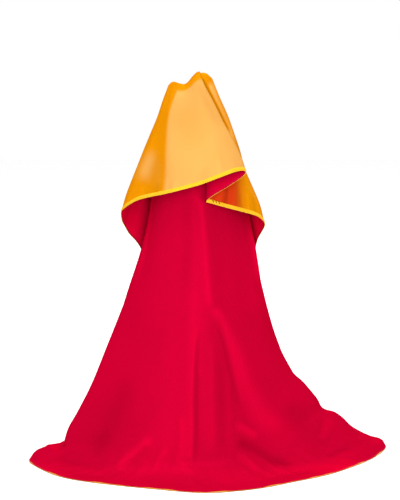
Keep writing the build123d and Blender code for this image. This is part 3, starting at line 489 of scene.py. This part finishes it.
gold_out = layer(wall_out, HALF)
uv_out = cloth_uv(wall_out)
points = np.concatenate([cap[:, ::-1], gold_out], axis=1)
cap_v = -np.cumsum(np.full((len(wall_out), CAP), 0.002), axis=1)
uvs = np.concatenate([np.stack([np.repeat(uv_out[:, :1, 0], CAP, 1), cap_v], -1)[:, ::-1], uv_out], axis=1)
left_out = run_v[wall_out, -1][:, None] - run_v[wall_out]
edge = np.concatenate([np.full((len(wall_out), CAP), 1.0), left_out], axis=1)
R = ROWS + CAP
lining_top = new_object("lining_turned_top_cloth", points.reshape(-1, 3), quads(len(wall_out), R), uvs.reshape(-1, 2), edge,
                        *(np.concatenate([np.repeat(f[wall_out, :1], CAP, 1), f[wall_out]], axis=1) for f in (painted_shading, painted_sheen, painted_reflection)))

# painted light on the red side of the turned-over top, where it lies in a narrow slot
red_top_painted_light_and_shadow = np.where((where < 12.5) | (where > 28.0), 0.42, 0.10)[wall_out] * smoothstep(row[wall_out], 0.5, 0.8)
# the red turns over the seam a little along the front leaf, and is hidden by it in the pleat
leaf_edge = smoothstep(place[wall_out], 9.6, 10.4) * (1 - smoothstep(place[wall_out], 20.2, 20.8))
red_out = layer(wall_out, -HALF, grow=0.0004 + 0.0012 * leaf_edge)
# painted shadow: a dark line along the red's last rows, darkest under the front leaf's edge
red_top_painted_light_and_shadow[:, -1] = np.where(leaf_edge > 0.5, -0.40, -0.12)
red_top_painted_light_and_shadow[:, -2] = np.where(leaf_edge > 0.5, -0.25, -0.05)
shell_top = new_object("outer_turned_top_cloth", red_out.reshape(-1, 3), quads(len(wall_out), ROWS, flip=True), uv_out.reshape(-1, 2), left_out, red_top_painted_light_and_shadow)

uv_in = cloth_uv(wall_in)
left_in = run_v[wall_in, -1][:, None] - run_v[wall_in]
gold_in = layer(wall_in, HALF, grow=hem_wave[wall_in])
gold_in[..., 2] = np.maximum(gold_in[..., 2], 0.0003)
# above the inner wall the gold runs on up to the crest, so the gathers are closed from behind
LID = 8
crest = cap[..., 2].max(axis=1)
front_wall = (place[wall_out] > 9.5) & (place[wall_out] < 30.5)
gap = np.abs(gold_in[:, :1, 0] - cap[front_wall, 5, 0][None])
near = gap <= np.maximum(gap.min(axis=1, keepdims=True), 0.004)
reach = np.where(near, crest[front_wall][None], -1.0).max(axis=1) - 0.0035
for _ in range(8):
    reach[1:-1] = (reach[:-2] + 2 * reach[1:-1] + reach[2:]) / 4
start = gold_in[:, 0]
lid = np.empty((len(wall_in), LID, 3))
for k in range(LID):
    f = (k + 1) / LID
    lid[:, k, 0] = start[:, 0]
    lid[:, k, 1] = start[:, 1] + (0.0006 - start[:, 1]) * f**1.5
    lid[:, k, 2] = start[:, 2] + (reach - start[:, 2]) * math.sin(math.pi / 2 * f)
skirt_points = np.concatenate([lid[:, ::-1], gold_in], axis=1)
lid_v = -np.cumsum(np.full((len(wall_in), LID), 0.003), axis=1)
skirt_uvs = np.concatenate([np.stack([np.repeat(uv_in[:, :1, 0], LID, 1), lid_v], -1)[:, ::-1], uv_in], axis=1)
skirt_edge = np.concatenate([np.full((len(wall_in), LID), 1.0), left_in], axis=1)
lining_skirt = new_object("lining_skirt_cloth", skirt_points.reshape(-1, 3), quads(len(wall_in), ROWS + LID), skirt_uvs.reshape(-1, 2),
                          skirt_edge, np.zeros((len(wall_in), ROWS + LID)))
red_in = layer(wall_in, -HALF)
red_in[..., 2] = np.maximum(red_in[..., 2], 0.0011)
shell_skirt = new_object("outer_skirt_cloth", red_in.reshape(-1, 3), quads(len(wall_in), ROWS, flip=True), uv_in.reshape(-1, 2), left_in, painted_shading[wall_in])

# the flat band along the neck seam, and the seam's rolled edge; both are given a paler gold than the lining, a painted
# highlight for the light they catch
BAND = 0.0072
steps = np.array([0.0004, 0.0016, 0.0034, 0.0052, 0.0067, BAND])
lift = np.array([0.00055, 0.0007, 0.0007, 0.0007, 0.00055, 0.0001])
band = np.empty((len(wall_out), len(steps), 3))
edge_line = np.empty((len(wall_out), 3))
edge_normal = np.empty((len(wall_out), 3))
for i, c in enumerate(wall_out):
    total = run_v[c, -1]
    for k, s in enumerate(steps):
        p = np.array([np.interp(total - s, run_v[c], grid[c, :, q]) for q in range(3)])
        n = np.array([np.interp(total - s, run_v[c], facing[c, :, q]) for q in range(3)])
        band[i, k] = p + n * (HALF + lift[k])
    edge_line[i] = grid[c, -1] + facing[c, -1] * 0.0002
    edge_normal[i] = facing[c, -1]
band_u = run_u[wall_out] + np.where(wall_out >= fold_left, -run_u[-1], 0)
band_uv = np.stack([np.repeat(band_u[:, None], len(steps), 1), np.repeat(steps[None], len(wall_out), 0)], -1)
neck_band = new_object("neck_band", band.reshape(-1, 3), quads(len(wall_out), len(steps), flip=True), band_uv.reshape(-1, 2))


def tube(name, line, radius, sides=6, closed=False):
    """A thin round piping along a line of points."""
    line = np.asarray(line, float)
    way = np.gradient(line, axis=0)
    way /= np.maximum(np.linalg.norm(way, axis=1, keepdims=True), 1e-9)
    ref = np.array([0.0, 0.0, 1.0])
    a = np.cross(way, ref)
    flat = np.linalg.norm(a, axis=1) < 0.05
    a[flat] = np.cross(way[flat], [0.0, 1.0, 0.0])
    a /= np.linalg.norm(a, axis=1, keepdims=True)
    for i in range(1, len(a)):
        if a[i] @ a[i - 1] < 0:
            a[i] = -a[i]
    b = np.cross(way, a)
    ang = np.linspace(0, 2 * math.pi, sides, endpoint=False)
    verts = (line[:, None] + radius * (np.cos(ang)[None, :, None] * a[:, None] + np.sin(ang)[None, :, None] * b[:, None])).reshape(-1, 3)
    faces = []
    for i in range(len(line) - 1):
        for k in range(sides):
            n = (k + 1) % sides
            faces.append((i * sides + k, i * sides + n, (i + 1) * sides + n, (i + 1) * sides + k))
    faces.append(tuple(range(sides))[::-1])
    faces.append(tuple((len(line) - 1) * sides + k for k in range(sides)))
    run = lengths(line)
    uvs = np.stack([np.repeat(run[:, None], sides, 1), np.repeat((ang * radius)[None], len(line), 0)], -1).reshape(-1, 2)
    return new_object(name, verts, faces, uvs)


neck_roll = tube("neck_seam_roll", edge_line, 0.0007)

# the hem is bagged out: the lining shows under the red edge as an uneven roll
hem_line = grid[wall_in, -1].copy()
down = grid[wall_in, -1] - grid[wall_in, -3]
down /= np.linalg.norm(down, axis=1, keepdims=True)
hem_size = 0.0004 + 0.0010 * np.clip(np.sin(place[wall_in] * 5.1 + 0.6) * 0.6 + np.sin(place[wall_in] * 11.7) * 0.4 + 0.25, 0, 1)
hem_line += down * 0.0009
hem_line[:, 2] = np.maximum(hem_line[:, 2], 0.0004) * 0 + np.maximum(grid[wall_in, -1, 2] - 0.0003, 0.0006 + hem_size * 0.6)


def tube_sizes(obj, line, sizes, sides=6, radius=0.001):
    """Gives a tube its own size at each point of its line."""
    co = np.empty(len(obj.data.vertices) * 3, np.float32)
    obj.data.vertices.foreach_get("co", co)
    co = co.reshape(len(line), sides, 3)
    co = line[:, None] + (co - line[:, None]) * (np.asarray(sizes) / radius)[:, None, None]
    co[..., 2] = np.maximum(co[..., 2], 0.0001)
    obj.data.vertices.foreach_set("co", co.astype(np.float32).ravel())
    obj.data.update()


hem_roll = tube("hem_roll", hem_line, 0.001)
tube_sizes(hem_roll, hem_line, hem_size)


def bvh_of(obj):
    me = obj.data
    return BVHTree.FromPolygons([v.co[:] for v in me.vertices], [p.vertices[:] for p in me.polygons])


gold_tree, red_tree = bvh_of(lining_top), bvh_of(shell_top)


def tab(name, node_name, tree, lift, thick=0.0012, nu=17, nv=11):
    """A woven tab that follows the cloth under a CAD tab: length and width are the CAD tab's, its corners rounded."""
    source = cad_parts[node_name]
    pts = np.array([source.matrix_world @ v.co for v in source.data.vertices])
    centre = pts.mean(axis=0)
    axes = np.linalg.svd(pts - centre, full_matrices=False)[2]
    length, width = (np.ptp((pts - centre) @ axes[k]) for k in (0, 1))
    hit, normal, _, _ = tree.find_nearest(Vector(centre))
    normal = np.array(normal)
    away = np.array(centre) - np.array(hit)
    if normal @ away < 0:
        normal = -normal
    a = axes[0] - normal * (axes[0] @ normal)
    a /= np.linalg.norm(a)
    b = np.cross(normal, a)

    # a smooth curved patch through the cloth below, so the tab keeps its outline where it passes a fold or the edge
    def terms(s, t):
        return [1.0, s, t, s * s, s * t, t * t]

    rows, heights = [], []
    for s in np.linspace(-1, 1, 13):
        for t in np.linspace(-1, 1, 9):
            start = np.array(hit) + a * s * length / 2 + b * t * width / 2
            h = tree.ray_cast(Vector(start + normal * 0.008), Vector(-normal), 0.016)[0]
            if h is not None:
                rows.append(terms(s, t))
                heights.append((np.array(h) - start) @ normal)
    rows, heights = np.array(rows), np.array(heights)
    bend = np.linalg.lstsq(rows, heights, rcond=None)[0]
    clear = float(np.clip((heights - rows @ bend).max(), 0, 0.0012))
    verts, uvs, edges = [], [], []
    for side in (0, 1):
        for i in range(nu):
            for j in range(nv):
                s, t = 2 * i / (nu - 1) - 1, 2 * j / (nv - 1) - 1
                corner = max(0.0, abs(s) - 0.8) / 0.2
                t2 = t * (1 - 0.16 * corner**2)
                start = np.array(hit) + a * s * length / 2 + b * t2 * width / 2
                puff = 1 - max(abs(s), abs(t)) ** 8
                rise_here = float(np.dot(terms(s, t), bend)) + clear
                verts.append(start + normal * (rise_here + lift + (thick * puff if side == 0 else 0)))
                uvs.append((s * length / 2 + length / 2, t * width / 2 + width / 2))
                edges.append(min((1 - abs(s)) * length / 2, (1 - abs(t)) * width / 2))
    faces = []
    for i in range(nu - 1):
        for j in range(nv - 1):
            k = i * nv + j
            faces.append((k, k + 1, k + nv + 1, k + nv))
            m = k + nu * nv
            faces.append((m, m + nv, m + nv + 1, m + 1))
    rim = [i * nv for i in range(nu)] + [(nu - 1) * nv + j for j in range(1, nv)] + [i * nv + nv - 1 for i in range(nu - 2, -1, -1)] + [j for j in range(nv - 2, 0, -1)]
    for p, q in zip(rim, rim[1:] + rim[:1]):
        faces.append((p, q, q + nu * nv, p + nu * nv))
    return new_object(name, verts, faces, uvs, edges)


hook = tab("hook_tab_cloth", "hook_tab", gold_tree, 0.0005)
loop_piece = tab("loop_tab_cloth", "loop_tab", red_tree, 0.0005)

# three slanted hand stitches that close the turning gap in the neck seam; their dark thread also stands in for the
# shade of small puckers there, a painted shadow
band_tree = bvh_of(neck_band)
thread_verts, thread_faces, thread_uvs = [], [], []
for k, x in enumerate((0.0062, 0.0124, 0.0186)):
    z = 0.5612 - 0.0016 * k
    ends_of = []
    for dx, dz in ((-0.0011, 0.0026), (-0.0004, 0.0009), (0.0004, -0.0009), (0.0011, -0.0026)):
        h, n, _, _ = band_tree.ray_cast(Vector((x + dx, -0.3, z + dz)), Vector((0, 1, 0)), 0.6)
        if h is None:
            h, n, _, _ = gold_tree.ray_cast(Vector((x + dx, -0.3, z + dz)), Vector((0, 1, 0)), 0.6)
        ends_of.append(np.array(h) + np.array([0, -0.0004, 0.0]))
    one = tube("stitch", ends_of, 0.0008)
    base = len(thread_verts)
    thread_verts += [v.co[:] for v in one.data.vertices]
    thread_faces += [tuple(base + i for i in p.vertices) for p in one.data.polygons]
    bpy.data.objects.remove(one)
gap_stitches = new_object("gap_stitches", thread_verts, thread_faces, [(v[0], v[2]) for v in thread_verts])

# ---------------------------------------------------------------------------
# Materials
# ---------------------------------------------------------------------------
def material(name):
    m = bpy.data.materials.new(name)
    m.use_nodes = True
    nt = m.node_tree
    nt.nodes.clear()
    out = nt.nodes.new("ShaderNodeOutputMaterial")
    b = nt.nodes.new("ShaderNodeBsdfPrincipled")
    nt.links.new(b.outputs[0], out.inputs[0])
    return m, nt, b


def node(nt, kind, **inputs):
    n = nt.nodes.new(kind)
    for k, v in inputs.items():
        if k.startswith("p_"):
            setattr(n, k[2:], v)
        else:
            n.inputs[k.replace("_", " ")].default_value = v
    return n


def srgb(r, g, b):
    out = []
    for c in (r, g, b):
        c /= 255
        out.append(c / 12.92 if c <= 0.04045 else ((c + 0.055) / 1.055) ** 2.4)
    return (*out, 1.0)


def rgb(r, g, b):
    return (r, g, b, 1.0)


def satin(name, colour, shade, worn, rough=(0.34, 0.46), specular=0.5, tint=None, sheen=0.0, sheen_tint=None, aniso=0.5, weave=0.25, metal=0.0, painted_sheen_colour=None, painted_reflection_colour=None):
    """Satin: long floats in the weave, a directional gloss, soft colour variation, slub lines, and edges rubbed a little paler."""
    m, nt, b = material(name)
    uv = node(nt, "ShaderNodeUVMap", p_uv_map="cloth")
    # colour variation over the cloth
    large = node(nt, "ShaderNodeTexNoise", Scale=9.0, Detail=2.0, Roughness=0.5)
    nt.links.new(uv.outputs[0], large.inputs["Vector"])
    mix1 = node(nt, "ShaderNodeMix", p_data_type="RGBA")
    # painted highlight (a paler colour) and painted reflection (an orange-red tint), laid in from the cloth's
    # attributes
    if painted_sheen_colour:
        painted_sheen_node = node(nt, "ShaderNodeAttribute", p_attribute_name="painted_sheen")
        painted_reflection_node = node(nt, "ShaderNodeAttribute", p_attribute_name="painted_reflection")
        first = node(nt, "ShaderNodeMix", p_data_type="RGBA")
        first.inputs[6].default_value = colour
        first.inputs[7].default_value = painted_sheen_colour
        nt.links.new(painted_sheen_node.outputs["Fac"], first.inputs[0])
        second = node(nt, "ShaderNodeMix", p_data_type="RGBA")
        second.inputs[7].default_value = painted_reflection_colour
        nt.links.new(painted_reflection_node.outputs["Fac"], second.inputs[0])
        nt.links.new(first.outputs[2], second.inputs[6])
        nt.links.new(second.outputs[2], mix1.inputs[6])
        soften = node(nt, "ShaderNodeMix", p_data_type="RGBA", p_blend_type="MULTIPLY")
        soften.inputs[0].default_value = 1.0
        soften.inputs[7].default_value = (0.93, 0.90, 0.85, 1.0)
        nt.links.new(second.outputs[2], soften.inputs[6])
        nt.links.new(soften.outputs[2], mix1.inputs[7])
    mix1.inputs[6].default_value = colour
    if not painted_sheen_colour:
        mix1.inputs[7].default_value = shade
    ramp = node(nt, "ShaderNodeMapRange")
    ramp.inputs["From Min"].default_value = 0.35
    ramp.inputs["From Max"].default_value = 0.75
    nt.links.new(large.outputs["Fac"], ramp.inputs["Value"])
    nt.links.new(ramp.outputs[0], mix1.inputs[0])
    # slub: faint lines along the filling threads
    stretch = node(nt, "ShaderNodeMapping")
    stretch.inputs["Scale"].default_value = (60.0, 900.0, 1.0)
    nt.links.new(uv.outputs[0], stretch.inputs["Vector"])
    slub = node(nt, "ShaderNodeTexNoise", Scale=1.0, Detail=2.0)
    nt.links.new(stretch.outputs[0], slub.inputs["Vector"])
    mix2 = node(nt, "ShaderNodeMix", p_data_type="RGBA", p_blend_type="MULTIPLY")
    mix2.inputs[0].default_value = 0.10
    nt.links.new(mix1.outputs[2], mix2.inputs[6])
    nt.links.new(slub.outputs["Fac"], mix2.inputs[7])
    # wear along the edges
    dist = node(nt, "ShaderNodeAttribute", p_attribute_name="edge")
    close = node(nt, "ShaderNodeMapRange")
    close.inputs["From Min"].default_value = 0.0
    close.inputs["From Max"].default_value = 0.006
    close.inputs["To Min"].default_value = 0.45
    close.inputs["To Max"].default_value = 0.0
    nt.links.new(dist.outputs["Fac"], close.inputs["Value"])
    rub = node(nt, "ShaderNodeTexNoise", Scale=160.0, Detail=3.0)
    nt.links.new(uv.outputs[0], rub.inputs["Vector"])
    times = node(nt, "ShaderNodeMath", p_operation="MULTIPLY")
    nt.links.new(close.outputs[0], times.inputs[0])
    nt.links.new(rub.outputs["Fac"], times.inputs[1])
    mix3 = node(nt, "ShaderNodeMix", p_data_type="RGBA")
    mix3.inputs[7].default_value = worn
    nt.links.new(times.outputs[0], mix3.inputs[0])
    nt.links.new(mix2.outputs[2], mix3.inputs[6])
    # painted highlight on the folds and painted shade in the hollows scale the colour
    painted_shading_node = node(nt, "ShaderNodeAttribute", p_attribute_name="painted_shading")
    plus = node(nt, "ShaderNodeMath", p_operation="ADD")
    plus.inputs[1].default_value = 1.0
    nt.links.new(painted_shading_node.outputs["Fac"], plus.inputs[0])
    power = node(nt, "ShaderNodeMath", p_operation="POWER")
    power.inputs[1].default_value = 1.6
    nt.links.new(plus.outputs[0], power.inputs[0])
    scale = node(nt, "ShaderNodeVectorMath", p_operation="SCALE")
    nt.links.new(mix3.outputs[2], scale.inputs[0])
    nt.links.new(power.outputs[0], scale.inputs["Scale"])
    nt.links.new(scale.outputs[0], b.inputs["Base Color"])
    # gloss varies with the lie of the threads
    rmap = node(nt, "ShaderNodeMapRange")
    rmap.inputs["To Min"].default_value = rough[0]
    rmap.inputs["To Max"].default_value = rough[1]
    fine = node(nt, "ShaderNodeTexNoise", Scale=40.0, Detail=4.0)
    nt.links.new(uv.outputs[0], fine.inputs["Vector"])
    nt.links.new(fine.outputs["Fac"], rmap.inputs["Value"])
    nt.links.new(rmap.outputs[0], b.inputs["Roughness"])
    # the weave: five-end satin, its floats half a millimetre long
    twist = node(nt, "ShaderNodeMapping")
    twist.inputs["Rotation"].default_value = (0, 0, 0.46)
    nt.links.new(uv.outputs[0], twist.inputs["Vector"])
    floats = node(nt, "ShaderNodeTexWave", Scale=640.0, Distortion=1.2, Detail=1.0)
    floats.inputs["Detail Scale"].default_value = 2.0
    nt.links.new(twist.outputs[0], floats.inputs["Vector"])
    bump = node(nt, "ShaderNodeBump", Strength=weave, Distance=0.00005)
    nt.links.new(floats.outputs["Fac"], bump.inputs["Height"])
    # shallow handling creases
    soft = node(nt, "ShaderNodeTexNoise", Scale=26.0, Detail=2.0, Roughness=0.45)
    squeeze = node(nt, "ShaderNodeMapping")
    squeeze.inputs["Scale"].default_value = (1.0, 0.35, 1.0)
    nt.links.new(uv.outputs[0], squeeze.inputs["Vector"])
    nt.links.new(squeeze.outputs[0], soft.inputs["Vector"])
    bump2 = node(nt, "ShaderNodeBump", Strength=0.35, Distance=0.0012)
    nt.links.new(soft.outputs["Fac"], bump2.inputs["Height"])
    nt.links.new(bump.outputs[0], bump2.inputs["Normal"])
    nt.links.new(bump2.outputs[0], b.inputs["Normal"])
    b.inputs["Specular IOR Level"].default_value = specular
    if tint:
        b.inputs["Specular Tint"].default_value = tint
    b.inputs["Anisotropic"].default_value = aniso
    b.inputs["Metallic"].default_value = metal
    if sheen:
        b.inputs["Sheen Weight"].default_value = sheen
        b.inputs["Sheen Roughness"].default_value = 0.4
        b.inputs["Sheen Tint"].default_value = sheen_tint
    tangent = node(nt, "ShaderNodeTangent", p_direction_type="UV_MAP", p_uv_map="cloth")
    nt.links.new(tangent.outputs[0], b.inputs["Tangent"])
    return m


gold = satin("gold_satin", rgb(0.50, 0.174, 0.001), rgb(0.48, 0.160, 0.001), rgb(0.75, 0.42, 0.12), rough=(0.36, 0.46),
             specular=0.0, tint=(1.0, 0.62, 0.14, 1.0), metal=0.22, aniso=0.45, painted_sheen_colour=rgb(0.51, 0.250, 0.058), painted_reflection_colour=rgb(0.40, 0.026, 0.004))
red = satin("red_satin", rgb(0.365, 0.0002, 0.0185), rgb(0.345, 0.0003, 0.0175), rgb(0.46, 0.012, 0.05), rough=(0.42, 0.52),
            specular=0.0, tint=(1.0, 0.15, 0.25, 1.0), metal=0.20, aniso=0.3)
# paler gold copies of the satin for the band and the roll: painted highlight
band_gold_painted_highlight = satin("band_satin_painted_highlight", rgb(0.56, 0.285, 0.001), rgb(0.53, 0.262, 0.001), rgb(0.8, 0.50, 0.06), rough=(0.36, 0.44),
                  specular=0.0, tint=(1.0, 0.70, 0.14, 1.0), metal=0.2, weave=0.15)
roll_gold_painted_highlight = satin("roll_satin_painted_highlight", rgb(0.66, 0.42, 0.006), rgb(0.62, 0.39, 0.005), rgb(0.8, 0.55, 0.1), rough=(0.36, 0.44),
                  specular=0.0, tint=(1.0, 0.78, 0.2, 1.0), metal=0.2, weave=0.15)
hem_gold = satin("hem_satin", rgb(0.46, 0.19, 0.006), rgb(0.42, 0.16, 0.004), rgb(0.6, 0.36, 0.1), rough=(0.4, 0.5),
                 specular=0.1, metal=0.2, weave=0.15)


def woven(name, colour, dark, ribs):
    """Narrow woven tape: ribs across it, a fuzzy pile and a flat, dry surface."""
    m, nt, b = material(name)
    uv = node(nt, "ShaderNodeUVMap", p_uv_map="cloth")
    wave = node(nt, "ShaderNodeTexWave", Scale=ribs, Distortion=0.6, Detail=2.0)
    nt.links.new(uv.outputs[0], wave.inputs["Vector"])
    fuzz = node(nt, "ShaderNodeTexNoise", Scale=900.0, Detail=4.0)
    nt.links.new(uv.outputs[0], fuzz.inputs["Vector"])
    mix = node(nt, "ShaderNodeMix", p_data_type="RGBA")
    mix.inputs[6].default_value = dark
    mix.inputs[7].default_value = colour
    add = node(nt, "ShaderNodeMath", p_operation="ADD")
    half = node(nt, "ShaderNodeMath", p_operation="MULTIPLY")
    half.inputs[1].default_value = 0.5
    nt.links.new(wave.outputs["Fac"], add.inputs[0])
    nt.links.new(fuzz.outputs["Fac"], add.inputs[1])
    nt.links.new(add.outputs[0], half.inputs[0])
    nt.links.new(half.outputs[0], mix.inputs[0])
    nt.links.new(mix.outputs[2], b.inputs["Base Color"])
    bump = node(nt, "ShaderNodeBump", Strength=0.6, Distance=0.0002)
    nt.links.new(half.outputs[0], bump.inputs["Height"])
    nt.links.new(bump.outputs[0], b.inputs["Normal"])
    rmap = node(nt, "ShaderNodeMapRange")
    rmap.inputs["To Min"].default_value = 0.7
    rmap.inputs["To Max"].default_value = 0.95
    nt.links.new(fuzz.outputs["Fac"], rmap.inputs["Value"])
    nt.links.new(rmap.outputs[0], b.inputs["Roughness"])
    b.inputs["Sheen Weight"].default_value = 0.06
    b.inputs["Sheen Roughness"].default_value = 0.5
    b.inputs["Sheen Tint"].default_value = colour
    b.inputs["Specular IOR Level"].default_value = 0.05
    return m


tape_gold = woven("tab_tape_gold", rgb(0.52, 0.20, 0.002), rgb(0.40, 0.14, 0.001), 260.0)
tape_red = woven("tab_tape_red", rgb(0.30, 0.004, 0.02), rgb(0.20, 0.002, 0.014), 260.0)
# dark thread: partly the stitches' own colour, partly painted shadow of the puckers there
pucker_shade_thread = woven("stitch_thread_pucker_shade", rgb(0.13, 0.035, 0.002), rgb(0.07, 0.018, 0.001), 1500.0)
for o, m in ((lining_top, gold), (lining_skirt, gold), (shell_top, red), (shell_skirt, red), (neck_band, band_gold_painted_highlight), (neck_roll, roll_gold_painted_highlight), (hem_roll, hem_gold), (hook, tape_gold), (loop_piece, tape_red), (gap_stitches, pucker_shade_thread)):
    o.data.materials.append(m)

# ---------------------------------------------------------------------------
# What each piece stands for and moves with
# ---------------------------------------------------------------------------
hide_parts("lining_turned_top", "lining_lapel_left", "lining_lapel_right")
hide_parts("outer_turned_top", "outer_lapel_left", "outer_lapel_right")
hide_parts("lining_panel_skirt")
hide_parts("outer_panel_skirt")
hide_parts("neck_tape_front", "neck_tape_left", "neck_tape_right")
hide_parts("turning_gap_stitches")
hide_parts("hook_tab")
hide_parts("loop_tab")
for o in (lining_top, shell_top, neck_band, neck_roll, gap_stitches, hook, loop_piece):
    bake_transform(o)
for o in (lining_skirt, shell_skirt, hem_roll):
    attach(o, "skirt")


# ---------------------------------------------------------------------------
# Floor, light and camera
# ---------------------------------------------------------------------------
floor = new_object("floor", [(-6, -4.5, -0.0004), (6, -4.5, -0.0004), (6, 7, -0.0004), (-6, 7, -0.0004)], [(0, 1, 2, 3)], smooth=False)
fm, fnt, fb = material("floor_paper")
fb.inputs["Base Color"].default_value = (0.95, 0.95, 0.95, 1)
fb.inputs["Roughness"].default_value = 0.9
fb.inputs["Specular IOR Level"].default_value = 0.1
floor.data.materials.append(fm)

world = bpy.data.worlds.new("studio")
scene.world = world
world.use_nodes = True
world.node_tree.nodes["Background"].inputs[0].default_value = (1, 1, 1, 1)
world.node_tree.nodes["Background"].inputs[1].default_value = 1.0


def softbox(name, place, aim, size, power, colour=(1, 1, 1)):
    light = bpy.data.lights.new(name, "AREA")
    light.shape = "RECTANGLE"
    light.size, light.size_y = size
    light.energy = power
    light.color = colour
    o = bpy.data.objects.new(name, light)
    o.location = place
    o.rotation_euler = (Vector(aim) - Vector(place)).to_track_quat("-Z", "Y").to_euler()
    scene.collection.objects.link(o)
    return o


softbox("front_soft", (-0.5, -3.6, 2.1), (-0.02, 0, 0.45), (1.7, 1.7), 50)
softbox("eye_soft", (-0.1, -4.6, 0.95), (-0.02, 0, 0.4), (2.4, 1.4), 80)
softbox("top_soft", (0.0, -0.4, 3.2), (0, 0, 0.1), (2.4, 2.4), 75)
softbox("back_soft", (0.6, 3.6, 2.2), (0, 0.1, 0.4), (2.0, 2.0), 60)
softbox("left_soft", (-3.6, 0.8, 1.8), (0, 0.1, 0.4), (1.6, 1.6), 18)
softbox("right_soft", (3.6, 0.8, 1.8), (0, 0.1, 0.4), (1.6, 1.6), 18)

camera = bpy.data.cameras.new("camera")
camera.lens = 173.09
camera.sensor_width = 36.0
cam = bpy.data.objects.new("camera", camera)
cam.location = (-0.0212, -4.9994, 1.10)
cam.rotation_euler = (math.radians(90 - 7.38), 0, 0)
scene.collection.objects.link(cam)
scene.camera = cam
scene.view_settings.view_transform = "Standard"
